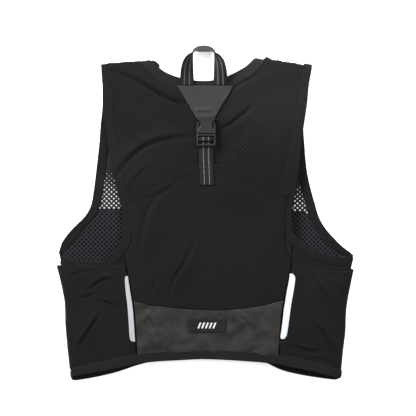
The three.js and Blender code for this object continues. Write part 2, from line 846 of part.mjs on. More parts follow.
// Flask pockets: flat on the floor under the mesh of the fronts
function frontPocket(side) {
  const sign = sides[side];
  const start = zipWidth + edgeGap;
  const low = flaskEdge[0].y;
  const high = flaskEdge[flaskEdge.length - 1].y;
  return sheetSolid(6, 8, clothWall, (s, v) => {
    const u = sign > 0 ? s : 1 - s;
    const y = bodyLength * THREE.MathUtils.lerp(low, high, v);
    const beside = outAt(sideFold, side, y) - clothWall / 2 - underReach - edgeGap;
    const clear = y < bodyLength * flaskEdge[1].y ? beside : halfWidth;
    const x = THREE.MathUtils.lerp(start, Math.min(outAt(flaskEdge, side, y), clear), u);
    return new THREE.Vector3(sign * x, y, floorHeight);
  });
}

// Front closing, one plain strip between the fronts
function frontZip() {
  const lines = {
    left: () => -zipWidth / 2,
    right: () => zipWidth / 2,
    bottom: (x) => hemLine(frontHem, x),
    top: (x) => upAt(frontNeck, x) - bandHold * neckBindingWidth,
  };
  return trimTo(clothGrid(2, 10, lines, frontHeight), ['neck', 'hem']);
}

// How far the back pocket and the lower panel stand over the back
function fillAt(x, y) {
  const across = THREE.MathUtils.clamp(Math.abs(x) / outAt(backEdge, sideOf(x), y), 0, 1);
  const fill = readTable(pocketFill, 'y', y / bodyLength, 'fill');
  return pocketSwell * fill * Math.cos((Math.PI / 2) * across);
}

function backPocketHeight(x, y) {
  return backHeight(x, y) + layer + fillAt(x, y) + creaseRelief(pocketCreases, x, y);
}

function pocketSide(side, y) {
  const banded = passed(rowsWhere.pocketMeetsBand, y);
  const inset = THREE.MathUtils.lerp(seamInset, armholeBindingWidth + edgeGap, banded);
  return outAt(backEdge, side, y) - inset;
}

// Back pocket with its V-shaped mouth, and the lower panel below its seam
function backPocket() {
  const lines = {
    left: (y) => -pocketSide('left', y),
    right: (y) => pocketSide('right', y),
    bottom: (x) => upAt(panelSeam, x) + seamGap / 2,
    top: (x) => upAt(pocketMouth, x),
  };
  return clothGrid(14, 12, lines, backPocketHeight);
}

function lowerPanel() {
  const lines = {
    left: (y) => -pocketSide('left', y),
    right: (y) => pocketSide('right', y),
    bottom: (x) => upAt(backHem, x) + hemBindingWidth + edgeGap,
    top: (x) => upAt(panelSeam, x) - seamGap / 2,
  };
  return clothGrid(12, 5, lines, (x, y) => backHeight(x, y) + layer + fillAt(x, y));
}

const overPocket = layer + clothWall / 2 + seamGap;

function reflectiveStrip(side) {
  const sign = sides[side];
  const low = stripLine[0].y;
  const high = stripLine[stripLine.length - 1].y;
  return sheetSolid(2, 8, stripWall, (s, v) => {
    const u = sign > 0 ? s : 1 - s;
    const y = bodyLength * THREE.MathUtils.lerp(low, high, v);
    const from = readTable(stripLine, 'y', y / bodyLength, `${side}In`);
    const to = readTable(stripLine, 'y', y / bodyLength, `${side}Out`);
    const x = sign * halfWidth * THREE.MathUtils.lerp(from, to, u);
    const lift = overPocket + edgeGap + stripWall / 2;
    return new THREE.Vector3(x, y, backHeight(x, y) + lift);
  });
}

function labelPatch() {
  return sheetSolid(6, 2, patchWall, (u, v) => {
    const x = patchOut * halfWidth + (u - 0.5) * patchWidth;
    const y = patchUp * bodyLength + (v - 0.5) * patchLength;
    const lift = overPocket + patchWall / 2;
    return new THREE.Vector3(x, y, backHeight(x, y) + fillAt(x, y) + lift);
  });
}

// Tab under the neck band, narrowing to the buckle
const overBand = bindingWall / 2 + seamGap;

function yokeTab() {
  return sheetSolid(6, 7, tabWall, (u, v) => {
    const y = bodyLength * THREE.MathUtils.lerp(tabEndUp, tabTopUp, v);
    const width = THREE.MathUtils.lerp(tabEndWidth, tabTopWidth, v);
    const x = closureOut * halfWidth + (u - 0.5) * width;
    return new THREE.Vector3(x, y, backHeight(x, y) + overBand + tabWall / 2);
  });
}

// Grab loop: webbing that lies flat at its feet and turns over on itself across the top
function handleLoop() {
  const foot = bodyLength * tabTopUp + seamGap;
  const level = backHeight(0, foot) + overBand + tabWall / 2;
  const columns = 28;
  const spot = (i) => {
    const share = THREE.MathUtils.clamp(i / columns, 0, 1);
    const s = 1 - Math.abs(2 * share - 1);
    const out = (readTable(loopPath, 's', s, 'out') * loopSpread) / 2;
    const up = readTable(loopPath, 's', s, 'up');
    const turn = THREE.MathUtils.degToRad(loopTwist * readTable(loopPath, 's', s, 'turn'));
    const rise = (webbingWidth / 2) * Math.sin(turn) - loopDrop * smooth(0.4, 1, up);
    const x = loopOut * halfWidth + (share < 0.5 ? -out : out);
    return { x, y: foot + loopRise * up, z: level + rise, turn };
  };
  return sheetSolid(columns, 2, webbingWall, (u, v) => {
    const i = Math.round(u * columns);
    const here = spot(i);
    const run = new THREE.Vector2(spot(i + 1).x - spot(i - 1).x, spot(i + 1).y - spot(i - 1).y);
    if (i === 0 || i === columns) run.set(0, i === 0 ? 1 : -1);
    run.normalize();
    const reach = (v - 0.5) * webbingWidth;
    const flat = reach * Math.cos(here.turn);
    const z = here.z + reach * Math.sin(here.turn);
    return new THREE.Vector3(here.x - run.y * flat, here.y + run.x * flat, z);
  });
}

// Buckle: the socket next to the tab, and the plug's frame below it
const buckleTop = bodyLength * tabEndUp - seamGap;
const plugTop = buckleTop - socketLength - seamGap;
const plugCentre = plugTop - plugLength / 2;
const backTop = backHeight(0, plugCentre) + clothWall / 2;
const underStrap = backTop + seamGap + webbingWall / 2;
const overStrap = underStrap + webbingWall + seamGap;
const frameFloor = overStrap + webbingWall / 2 + seamGap;
const socketFloor = backHeight(0, buckleTop - socketLength / 2) + clothWall / 2 + seamGap;

function buckleSocket() {
  const half = buckleWidth / 2;
  const waist = socketWaist / 2;
  const foot = half - socketFlare;
  const neck = half - socketStep;
  const up = (share) => share * socketLength;
  const outline = new THREE.Shape();
  outline.moveTo(-half, 0);
  outline.lineTo(half, 0);
  outline.lineTo(foot, up(0.36));
  outline.quadraticCurveTo(waist, up(0.42), waist, up(0.62));
  outline.quadraticCurveTo(waist, up(0.8), neck, up(0.84));
  outline.lineTo(half, socketLength);
  outline.lineTo(-half, socketLength);
  outline.lineTo(-neck, up(0.84));
  outline.quadraticCurveTo(-waist, up(0.8), -waist, up(0.62));
  outline.quadraticCurveTo(-waist, up(0.42), -foot, up(0.36));
  outline.closePath();
  const options = { depth: socketWall, bevelEnabled: false, curveSegments: 4 };
  const geometry = new THREE.ExtrudeGeometry(outline, options);
  return geometry.translate(closureOut * halfWidth, buckleTop - socketLength, socketFloor);
}

function bucklePlug() {
  const half = buckleWidth / 2;
  const frame = new THREE.Shape();
  frame.moveTo(-half, frameCorner);
  frame.quadraticCurveTo(-half, 0, -half + frameCorner, 0);
  frame.lineTo(half - frameCorner, 0);
  frame.quadraticCurveTo(half, 0, half, frameCorner);
  frame.lineTo(half, plugLength);
  frame.lineTo(-half, plugLength);
  frame.closePath();
  const inner = half - frameSide;
  const window = new THREE.Path();
  window.moveTo(-inner, frameBar);
  window.lineTo(-inner, plugLength - frameBar);
  window.lineTo(inner, plugLength - frameBar);
  window.lineTo(inner, frameBar);
  window.closePath();
  frame.holes.push(window);
  const options = { depth: plugWall, bevelEnabled: false, curveSegments: 3 };
  const rim = new THREE.ExtrudeGeometry(frame, options);
  rim.translate(closureOut * halfWidth, plugTop - plugLength, frameFloor);
  const bar = new THREE.CylinderGeometry(barSize / 2, barSize / 2, buckleWidth - frameSide, 10);
  bar.rotateZ(Math.PI / 2);
  bar.translate(closureOut * halfWidth, plugTop - barInset, frameFloor);
  return fromSolid(weld(rim).add(weld(bar)));
}

function weld(geometry) {
  const bare = new THREE.BufferGeometry();
  bare.setAttribute('position', geometry.getAttribute('position'));
  if (geometry.getIndex()) bare.setIndex(geometry.getIndex());
  return toSolid(mergeVertices(bare, 1e-4));
}

// Strap: up under the plug, over its bar and back down as the tail
function closureStrap() {
  const barUp = plugTop - barInset;
  const turn = barSize / 2 + seamGap + webbingWall / 2;
  const under = bodyLength * underEndUp;
  const tail = bodyLength * tailEndUp;
  const mouth = upAt(pocketMouth, 0);
  const mouthRise = 14;
  const clear = 1;
  const overPocketAt = (y) => backPocketHeight(0, y) + clothWall / 2 + seamGap + webbingWall / 2;
  const tailHeight = (y) => {
    const onPocket = 1 - smooth(mouth + clear, mouth + mouthRise, y);
    return THREE.MathUtils.lerp(overStrap, Math.max(overPocketAt(y), overStrap), onPocket);
  };
  const path = [];
  for (let i = 0; i < 3; i += 1) {
    path.push([THREE.MathUtils.lerp(under, barUp, i / 3), underStrap]);
  }
  for (let i = 0; i <= 6; i += 1) {
    const angle = -Math.PI / 2 + (Math.PI * i) / 6;
    path.push([barUp + turn * Math.cos(angle), frameFloor + turn * Math.sin(angle)]);
  }
  const out = plugTop - plugLength - clear;
  path.push([barUp - turn, frameFloor + turn], [barUp - 2 * turn, overStrap], [out, overStrap]);
  for (let i = 1; i <= 7; i += 1) {
    const y = THREE.MathUtils.lerp(out, tail, i / 7);
    path.push([y, tailHeight(y)]);
  }
  return sheetSolid(1, path.length - 1, webbingWall, (u, v) => {
    const [y, z] = path[Math.round(v * (path.length - 1))];
    return new THREE.Vector3(closureOut * halfWidth + (0.5 - u) * webbingWidth, y, z);
  });
}

addPiece('front_panel_left', frontPanel('left'), mesh);
addPiece('front_panel_right', frontPanel('right'), mesh);
addPiece('front_zip', frontZip(), moulded);
addPiece('front_pocket_left', frontPocket('left'), stretch);
addPiece('front_pocket_right', frontPocket('right'), stretch);
addPiece('back_panel', backPanel(), cloth);
addPiece('side_panel_left', sidePanel('left'), stretch);
addPiece('side_panel_right', sidePanel('right'), stretch);
addPiece('side_pocket_left', sidePocket('left'), stretch);
addPiece('side_pocket_right', sidePocket('right'), stretch);
addPiece('back_pocket', backPocket(), stretch);
addPiece('lower_panel', lowerPanel(), ripstop);
addPiece('neck_binding', bandSolid(neckRails), binding);
addPiece('armhole_binding_left', bandSolid(armholeRails.left), binding);
addPiece('armhole_binding_right', bandSolid(armholeRails.right), binding);
addPiece('hem_binding', bandSolid(hemRails), binding);
addPiece('reflective_strip_left', reflectiveStrip('left'), reflective);
addPiece('reflective_strip_right', reflectiveStrip('right'), reflective);
addPiece('label_patch', labelPatch(), binding);
addPiece('yoke_tab', yokeTab(), coated);
addPiece('handle_loop', handleLoop(), webbing);
addPiece('buckle_socket', buckleSocket(), moulded);
addPiece('buckle_plug', bucklePlug(), moulded);
addPiece('closure_strap', closureStrap(), webbing);

// The origin is the middle of the underside
const bounds = new THREE.Box3().setFromObject(vest);
const middle = bounds.getCenter(new THREE.Vector3());
vest.position.set(-middle.x, -middle.y, -bounds.min.z);

export default vest;
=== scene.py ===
import math

import bmesh
import bpy
import numpy as np
from mathutils import Matrix, Vector
from mathutils.bvhtree import BVHTree


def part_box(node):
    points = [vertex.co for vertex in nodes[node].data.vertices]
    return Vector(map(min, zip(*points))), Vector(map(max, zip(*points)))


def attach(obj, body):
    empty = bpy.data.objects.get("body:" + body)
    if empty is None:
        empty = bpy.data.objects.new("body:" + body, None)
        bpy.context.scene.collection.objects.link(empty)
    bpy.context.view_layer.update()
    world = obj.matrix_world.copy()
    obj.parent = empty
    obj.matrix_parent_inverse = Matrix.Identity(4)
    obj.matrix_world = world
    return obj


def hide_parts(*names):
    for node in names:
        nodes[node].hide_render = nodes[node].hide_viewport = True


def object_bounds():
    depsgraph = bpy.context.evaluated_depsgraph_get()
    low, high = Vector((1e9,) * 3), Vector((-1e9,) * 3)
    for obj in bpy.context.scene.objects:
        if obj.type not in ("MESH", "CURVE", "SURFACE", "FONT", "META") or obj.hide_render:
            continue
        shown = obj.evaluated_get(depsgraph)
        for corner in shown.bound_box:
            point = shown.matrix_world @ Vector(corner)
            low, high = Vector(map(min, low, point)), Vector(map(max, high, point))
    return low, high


# Running hydration vest lying flat, back up, seen from straight above.
# Metres; +X to the right, +Y towards the shoulders, +Z up out of the back.

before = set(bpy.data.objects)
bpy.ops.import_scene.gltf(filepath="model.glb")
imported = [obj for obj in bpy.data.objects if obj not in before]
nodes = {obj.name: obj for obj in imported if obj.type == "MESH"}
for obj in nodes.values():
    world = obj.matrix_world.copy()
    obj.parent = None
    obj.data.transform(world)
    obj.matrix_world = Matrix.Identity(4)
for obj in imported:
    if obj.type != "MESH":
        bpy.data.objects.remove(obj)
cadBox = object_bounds()
print("stage: frame loaded,", len(nodes), "nodes")

mm = 0.001


# Meshes and objects


pieces = {}


def addObject(name, data):
    holder = bpy.data.objects.new(name, data)
    bpy.context.scene.collection.objects.link(holder)
    return holder


# A piece of the vest, with the nodes of the frame that it stands for
def addPiece(name, mesh, materials, replaced=()):
    for material in materials:
        mesh.materials.append(material)
    piece = addObject(name, mesh)
    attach(piece, "root")
    if replaced:
        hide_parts(*replaced)
    pieces[name] = piece


def makeMesh(name, points, faces):
    mesh = bpy.data.meshes.new(name)
    mesh.from_pydata(np.asarray(points).tolist(), [], [list(map(int, f)) for f in faces])
    mesh.update()
    mesh.shade_smooth()
    return mesh


# The faces of a thin sheet given as two grids of points, the upper one first
def sheetFaces(columns, rows):
    count = columns * rows
    faces = []
    for j in range(rows - 1):
        for i in range(columns - 1):
            a = j * columns + i
            quad = [a, a + 1, a + columns + 1, a + columns]
            faces.append(quad)
            faces.append([count + k for k in reversed(quad)])
    edge = list(range(columns)) + [j * columns + columns - 1 for j in range(1, rows)]
    edge += [(rows - 1) * columns + i for i in reversed(range(columns - 1))]
    edge += [j * columns for j in reversed(range(1, rows - 1))]
    for a, b in zip(edge, edge[1:] + edge[:1]):
        faces.append([b, a, a + count, b + count])
    return faces


# One mesh from several, each with its own material where they are to stay apart
def joinMeshes(name, meshes, apart=False):
    points, faces, marks = [], [], []
    offset = 0
    for number, mesh in enumerate(meshes):
        found = readPoints(mesh)
        points.append(found)
        faces += [[offset + i for i in p.vertices] for p in mesh.polygons]
        marks += [number * apart] * len(mesh.polygons)
        offset += len(found)
    joined = makeMesh(name, np.vstack(points), faces)
    joined.polygons.foreach_set("material_index", marks)
    return joined


def readPoints(mesh):
    points = np.zeros(len(mesh.vertices) * 3, np.float64)
    mesh.vertices.foreach_get("co", points)
    return points.reshape(-1, 3)


def writePoints(mesh, points):
    mesh.vertices.foreach_set("co", np.asarray(points, np.float64).ravel())
    mesh.update()


def treeOf(meshes):
    points, faces = [], []
    for mesh in meshes:
        offset = len(points)
        points += [v.co[:] for v in mesh.vertices]
        faces += [[offset + i for i in p.vertices] for p in mesh.polygons]
    return BVHTree.FromPolygons(points, faces)


rayStart = 0.1


# The highest point of a tree's surface at a place of the floor plan
def dropOn(tree, x, y):
    return tree.ray_cast((x, y, rayStart), (0, 0, -1))[0]


def bakeObject(holder, name):
    graph = bpy.context.evaluated_depsgraph_get()
    mesh = bpy.data.meshes.new_from_object(holder.evaluated_get(graph))
    mesh.name = name
    bpy.data.objects.remove(holder)
    return mesh


meeting = {"furthest": 1.6 * mm, "nearest": 0.25 * mm}


# Moves the edge of a piece a little further, over or under the pieces that it meets
def reachOver(work, neighbours, reach):
    tree = treeOf([nodes[name].data for name in neighbours])
    for vertex in work.verts:
        spot = tree.find_nearest(vertex.co, meeting["furthest"])[0]
        if spot is None:
            continue
        way = Vector((spot.x - vertex.co.x, spot.y - vertex.co.y, 0))
        if way.length > meeting["nearest"]:
            vertex.co += way.normalized() * reach


# Distances that count as one point or as no edge, and angles of flat, square and sharp edges
softening = {"same": 0.01 * mm, "tiny": 0.02 * mm, "flat": 35, "square": 70, "sharp": 50}


# A finer, rounder copy of a node of the frame; its sharp rims keep their line
def softCopy(nodeName, name, levels=3, rim=1.0, meets=(), reach=2 * mm):
    work = bmesh.new()
    work.from_mesh(nodes[nodeName].data)
    bmesh.ops.remove_doubles(work, verts=work.verts, dist=softening["same"])
    bmesh.ops.dissolve_degenerate(work, edges=work.edges, dist=softening["tiny"])
    if meets:
        reachOver(work, meets, reach)
    bmesh.ops.join_triangles(
        work,
        faces=work.faces,
        angle_face_threshold=math.radians(softening["flat"]),
        angle_shape_threshold=math.radians(softening["square"]),
    )
    crease = work.edges.layers.float.new("crease_edge")
    for edge in work.edges:
        if len(edge.link_faces) == 2 and edge.calc_face_angle() > math.radians(softening["sharp"]):
            edge[crease] = rim
    coarse = bpy.data.meshes.new(name + "Coarse")
    work.to_mesh(coarse)
    work.free()
    holder = addObject(name + "Holder", coarse)
    soften = holder.modifiers.new("soften", "SUBSURF")
    soften.levels = levels
    soften.render_levels = levels
    fine = bakeObject(holder, name)
    bpy.data.meshes.remove(coarse)
    fine.shade_smooth()
    return fine


# Heights of some nodes over the floor plan, kept on a fine grid and blurred there


def blurred(values, cells):
    rows, columns = values.shape
    down = np.fft.fftfreq(rows)[:, None]
    across = np.fft.rfftfreq(columns)[None, :]
    kernel = np.exp(-2 * (math.pi * cells) ** 2 * (down**2 + across**2))
    return np.fft.irfft2(np.fft.rfft2(values) * kernel, s=values.shape)


class PlanMap:
    step = 2 * mm
    margin = 12 * mm

    widening = (1.5, 4, 12, 40)
    rimBlur = 1.2

    def __init__(self, names, blur=2.5):
        tree = treeOf([nodes[name].data for name in names])
        low, high = cadBox
        self.left = low[0] - self.margin
        self.bottom = low[1] - self.margin
        columns = int((high[0] - low[0] + 2 * self.margin) / self.step) + 1
        rows = int((high[1] - low[1] + 2 * self.margin) / self.step) + 1
        raw = np.full((rows, columns), np.nan)
        for j in range(rows):
            for i in range(columns):
                hit = dropOn(tree, self.left + i * self.step, self.bottom + j * self.step)
                if hit is not None:
                    raw[j, i] = hit.z
        covered = ~np.isnan(raw)
        known = covered.astype(float)
        filled = np.where(covered, raw, 0)
        for cells in self.widening:
            weight = blurred(known, cells)
            spread = blurred(filled * known, cells) / np.maximum(weight, 1e-6)
            missing = (known < 0.5) & (weight > 0.02)
            filled[missing] = spread[missing]
            known[missing] = 1
        self.heights = blurred(filled * known, blur) / np.maximum(blurred(known, blur), 1e-6)
        self.cover = blurred(covered.astype(float), self.rimBlur)

    def read(self, grid, x, y):
        rows, columns = grid.shape
        u = np.clip((np.asarray(x) - self.left) / self.step, 0, columns - 1.001)
        v = np.clip((np.asarray(y) - self.bottom) / self.step, 0, rows - 1.001)
        i, j = np.floor(u).astype(int), np.floor(v).astype(int)
        s, t = u - i, v - j
        low = grid[j, i] * (1 - s) + grid[j, i + 1] * s
        high = grid[j + 1, i] * (1 - s) + grid[j + 1, i + 1] * s
        return low * (1 - t) + high * t

    def height(self, x, y):
        return self.read(self.heights, x, y)

    def share(self, x, y):
        return self.read(self.cover, x, y)


frontMap = PlanMap(["front_panel_left", "front_panel_right"])
backMap = PlanMap(["back_panel"], 3.5)
overMap = PlanMap([name for name in nodes if not name.startswith("front_") and name != "handle_loop"])
print("stage: heights of the front and the back read")


# Creases and soft noise


def softNoise(x, y, size, seed):
    grid = np.random.RandomState(seed).uniform(-1, 1, (64, 64))
    u, v = x / size + 17.3, y / size + 9.1
    i, j = np.floor(u).astype(int), np.floor(v).astype(int)
    s, t = u - i, v - j
    s, t = s * s * (3 - 2 * s), t * t * (3 - 2 * t)
    low = grid[j % 64, i % 64] * (1 - s) + grid[j % 64, (i + 1) % 64] * s
    high = grid[(j + 1) % 64, i % 64] * (1 - s) + grid[(j + 1) % 64, (i + 1) % 64] * s
    return low * (1 - t) + high * t


# Points along a smooth curve through a few given ones, in millimetres
def curveThrough(route, count):
    route = np.array(route, float)
    padded = np.vstack([2 * route[0] - route[1], route, 2 * route[-1] - route[-2]])
    places = np.linspace(0, len(route) - 1, count)
    k = np.minimum(places.astype(int), len(route) - 2)
    t = (places - k)[:, None]
    a, b, c, d = padded[k], padded[k + 1], padded[k + 2], padded[k + 3]
    bend = (2 * a - 5 * b + 4 * c - d) * t**2 + (3 * b - a - 3 * c + d) * t**3
    return (b + 0.5 * ((c - a) * t + bend)) * mm


# A crease is a ridge along its route, with a sharper valley on its right hand
def creaseRelief(creases, x, y):
    relief = np.zeros_like(x)
    for route, height, wide, share in creases:
        spots = curveThrough(route, 20)
        nearest = np.full_like(x, 1e9)
        signed = np.zeros_like(x)
        along = np.zeros_like(x)
        for k, (a, b) in enumerate(zip(spots[:-1], spots[1:])):
            run = b - a
            t = np.clip(((x - a[0]) * run[0] + (y - a[1]) * run[1]) / (run @ run), 0, 1)
            dx, dy = x - a[0] - t * run[0], y - a[1] - t * run[1]
            distance = np.hypot(dx, dy)
            closer = distance < nearest
            nearest = np.where(closer, distance, nearest)
            signed = np.where(closer, distance * np.sign(run[0] * dy - run[1] * dx), signed)
            along = np.where(closer, (k + t) / (len(spots) - 1), along)
        width = wide * mm
        ridge = np.exp(-(((signed - width * 0.55) / (width * 0.7)) ** 2))
        valley = np.exp(-(((signed + width * 0.08) / (width * 0.3)) ** 2))
        fade = np.sin(math.pi * np.clip(along, 0.03, 0.97)) ** 0.7
        relief += height * mm * fade * (share * ridge - 1.3 * valley)
    return relief


# Route, height, width and the ridge's share of the height, in millimetres
backCreases = [
    ([(-128, 198), (-96, 184), (-66, 166), (-44, 155), (-28, 151)], 4.0, 10, 0.8),
    ([(-128, 44), (-108, 72), (-84, 92), (-50, 103), (-16, 106)], 2.8, 10, 0.8),
    ([(70, 150), (52, 134), (34, 121), (14, 110)], 3.3, 9, 0.3),
    ([(-104, 30), (-92, 52), (-74, 66)], 1.2, 8, 0.8),
    ([(124, 120), (112, 60), (100, 20)], 0.9, 9, 0.8),
    ([(88, 196), (66, 186), (44, 176), (26, 162)], 1.3, 9, 0.4),
]
pocketCreases = [
    ([(-46, 35), (-75, 9), (-88, -32), (-91, -61)], 1.7, 11, 0.5),
    ([(-11, -32), (-26, -68), (-43, -96), (-49, -120)], 2.0, 9, 0.4),
    ([(26, 52), (40, 28), (50, 4)], 1.4, 8, 0.4),
    ([(83, 4), (94, -24), (104, -52)], 1.5, 8, 0.4),
    ([(14, -70), (30, -96), (40, -118)], 1.0, 8, 0.3),
    ([(-60, -80), (-72, -108), (-76, -126)], 0.9, 8, 0.3),
    ([(-108, 10), (-60, 28), (-24, 52)], 0.9, 9, 0.3),
    ([(-8, 68), (-38, 56), (-81, 40), (-124, 19)], 1.4, 5, 1.0),
    ([(134, 21), (83, 41), (32, 65), (6, 70)], 1.4, 5, 1.0),
]
lowerCreases = [
    ([(-84, -140), (-72, -158), (-66, -176)], 0.6, 8, 0.8),
    ([(44, -142), (58, -152), (66, -168)], 0.7, 8, 0.8),
    ([(84, -136), (78, -156), (84, -176)], 0.5, 7, 0.8),
]
sideCreases = [
    ([(-164, -109), (-143, -94), (-124, -91)], 2.0, 4.5, 0.8),
    ([(-176, -119), (-150, -113)], 1.6, 4, 0.8),
    ([(-151, -121), (-136, -125), (-122, -131)], 1.9, 4.5, 0.8),
    ([(-176, -189), (-160, -163), (-145, -141)], 1.9, 6, 0.8),
    ([(-128, -170), (-120, -190), (-110, -205)], 1.4, 5, 0.8),
    ([(-190, -92), (-178, -84), (-150, -82)], 1.2, 4, 0.8),
    ([(129, -85), (133, -94), (138, -102)], 1.4, 4, 0.8),
    ([(149, -88), (162, -108), (175, -130)], 1.9, 7, 0.8),
    ([(146, -150), (166, -172), (186, -204)], 2.4, 7, 0.8),
    ([(116, -184), (138, -191), (160, -194)], 1.8, 5, 0.8),
    ([(140, -206), (162, -204), (188, -214)], 1.2, 5, 0.8),
    ([(168, -96), (184, -104), (198, -118)], 1.2, 5, 0.8),
]


def bodyRelief(x, y):
    wave = 1.1 * softNoise(x, y, 48 * mm, 3) + 0.35 * softNoise(x, y, 18 * mm, 4)
    return creaseRelief(backCreases, x, y) + wave * mm


def pocketRelief(x, y):
    puff = 0.5 + 0.55 * softNoise(x, y, 36 * mm, 5) + 0.2 * softNoise(x, y, 14 * mm, 6)
    return bodyRelief(x, y) + creaseRelief(pocketCreases, x, y) + puff * mm


def sideRelief(x, y):
    puff = 0.7 * softNoise(x, y, 34 * mm, 7) + 0.35 * softNoise(x, y, 13 * mm, 8)
    return bodyRelief(x, y) + 1.25 * creaseRelief(sideCreases, x, y) + (0.4 + puff) * mm


def crinkleRelief(x, y):
    slanted, steep = 0.8 * x + 0.6 * y, 0.8 * y - 0.6 * x
    puff = 1.1 * softNoise(slanted, 1.6 * steep, 22 * mm, 9)
    puff += 0.7 * softNoise(1.5 * steep, slanted, 12 * mm, 10)
    return bodyRelief(x, y) + creaseRelief(lowerCreases, x, y) + (0.6 + puff) * mm


def liftPoints(mesh, relief, low=5 * mm, high=10 * mm):
    points = readPoints(mesh)
    share = np.clip((points[:, 2] - low) / (high - low), 0, 1)
    points[:, 2] += share * relief(points[:, 0], points[:, 1])
    writePoints(mesh, points)


# Shared effects of the materials: each group gives a height or a value


def newGroup(name, inputs, outputs):
    group = bpy.data.node_groups.new(name, "ShaderNodeTree")
    for label in inputs:
        kind = "NodeSocketVector" if label == "Vector" else "NodeSocketFloat"
        group.interface.new_socket(label, in_out="INPUT", socket_type=kind)
    for label in outputs:
        group.interface.new_socket(label, in_out="OUTPUT", socket_type="NodeSocketFloat")
    start = group.nodes.new("NodeGroupInput")
    end = group.nodes.new("NodeGroupOutput")
    return group, start.outputs, end.inputs


def fill(tree, socket, value):
    if isinstance(value, bpy.types.NodeSocket):
        tree.links.new(value, socket)
    else:
        socket.default_value = value


def calculate(tree, operation, first, second=0.0):
    node = tree.nodes.new("ShaderNodeMath")
    node.operation = operation
    fill(tree, node.inputs[0], first)
    fill(tree, node.inputs[1], second)
    return node.outputs[0]


def split(tree, vector):
    node = tree.nodes.new("ShaderNodeSeparateXYZ")
    tree.links.new(vector, node.inputs[0])
    return node.outputs[0], node.outputs[1]


def noise(tree, vector, scale):
    node = tree.nodes.new("ShaderNodeTexNoise")
    tree.links.new(vector, node.inputs["Vector"])
    fill(tree, node.inputs["Scale"], scale)
    node.inputs["Detail"].default_value = 3.0
    return node.outputs[0]


def buildKnit():
    group, given, result = newGroup("fineKnit", ["Vector", "Pitch"], ["Height"])
    turns = calculate(group, "DIVIDE", 2 * math.pi, given["Pitch"])
    x, y = split(group, given["Vector"])
    along = calculate(group, "SINE", calculate(group, "MULTIPLY", x, turns))
    across = calculate(group, "SINE", calculate(group, "MULTIPLY", y, turns))
    loops = calculate(group, "MULTIPLY", along, across)
    # the addend keeps the node's own 0.5, so the height runs from 0 to 1
    group.links.new(calculate(group, "MULTIPLY_ADD", loops, 0.5), result["Height"])
    return group


def buildVariation():
    group, given, result = newGroup("softVariation", ["Vector", "Scale", "Amount"], ["Value"])
    cloud = noise(group, given["Vector"], given["Scale"])
    centred = calculate(group, "SUBTRACT", cloud, 0.5)
    scaled = calculate(group, "MULTIPLY", centred, given["Amount"])
    group.links.new(calculate(group, "ADD", scaled, 1.0), result["Value"])
    return group


# Painted light: middle and reach, in metres, of the lighter patch painted on the cloth at the right
# shoulder
paintedLightSpot = {"at": (0.105, 0.195, 0.01), "outer": 0.13, "inner": 0.04}


# Grows from 0 to 1 towards the right shoulder, where the cloth's colour is painted lighter: painted light
# for the brighter light that falls there
def buildWorn():
    group, given, result = newGroup("paintedLightArea", ["Vector"], ["Share"])
    away = group.nodes.new("ShaderNodeVectorMath")
    away.operation = "DISTANCE"
    group.links.new(given["Vector"], away.inputs[0])
    away.inputs[1].default_value = paintedLightSpot["at"]
    ramp = group.nodes.new("ShaderNodeMapRange")
    ramp.interpolation_type = "SMOOTHSTEP"
    group.links.new(away.outputs["Value"], ramp.inputs["Value"])
    ramp.inputs["From Min"].default_value = paintedLightSpot["outer"]
    ramp.inputs["From Max"].default_value = paintedLightSpot["inner"]
    group.links.new(ramp.outputs["Result"], result["Share"])
    return group


# Where a cell's outer tenth on each side is a line
def buildGrid():
    group, given, result = newGroup("ripstopGrid", ["Vector", "Pitch"], ["Line"])
    x, y = split(group, given["Vector"])
    lines = []
    for axis in (x, y):
        place = calculate(group, "FRACT", calculate(group, "DIVIDE", axis, given["Pitch"]))
        off = calculate(group, "ABSOLUTE", calculate(group, "SUBTRACT", place, 0.5))
        lines.append(calculate(group, "GREATER_THAN", off, 0.4))
    group.links.new(calculate(group, "MAXIMUM", lines[0], lines[1]), result["Line"])
    return group


# Ribs across the width, picks along it in millimetres, and two stripes of light dashes
weaving = {"ribs": 11, "pick": 2.4, "stripes": (0.31, 0.68), "halfStripe": 0.036, "dash": -0.2}


def buildWebbing():
    group, given, result = newGroup("webbingWeave", ["Vector"], ["Height", "Tracer"])
    u, v = split(group, given["Vector"])
    ribs = calculate(group, "SINE", calculate(group, "MULTIPLY", u, 2 * math.pi * weaving["ribs"]))
    picks = calculate(group, "SINE", calculate(group, "MULTIPLY", v, 2 * math.pi / weaving["pick"]))
    height = calculate(group, "ADD", ribs, calculate(group, "MULTIPLY", picks, 0.6))
    group.links.new(height, result["Height"])
    stripes = []
    for place in weaving["stripes"]:
        off = calculate(group, "ABSOLUTE", calculate(group, "SUBTRACT", u, place))
        stripes.append(calculate(group, "LESS_THAN", off, weaving["halfStripe"]))
    dash = calculate(group, "GREATER_THAN", picks, weaving["dash"])
    stripe = calculate(group, "MAXIMUM", stripes[0], stripes[1])
    group.links.new(calculate(group, "MULTIPLY", stripe, dash), result["Tracer"])
    return group


knitGroup = buildKnit()
variationGroup = buildVariation()
paintedLightGroup = buildWorn()
gridGroup = buildGrid()
webbingGroup = buildWebbing()


def useGroup(tree, group, **inputs):
    node = tree.nodes.new("ShaderNodeGroup")
    node.node_tree = group
    for label, value in inputs.items():
        fill(tree, node.inputs[label], value)
    return node.outputs


def mixColours(tree, share, first, second):
    node = tree.nodes.new("ShaderNodeMix")
    node.data_type = "RGBA"
    fill(tree, node.inputs["Factor"], share)
    for socket, colour in ((node.inputs[6], first), (node.inputs[7], second)):
        fill(tree, socket, colour if isinstance(colour, bpy.types.NodeSocket) else (*colour, 1))
    return node.outputs[2]


def shade(tree, colour, value):
    node = tree.nodes.new("ShaderNodeVectorMath")
    node.operation = "SCALE"
    if isinstance(colour, bpy.types.NodeSocket):
        tree.links.new(colour, node.inputs[0])
    else:
        node.inputs[0].default_value = colour
    tree.links.new(value, node.inputs["Scale"])
    return node.outputs[0]


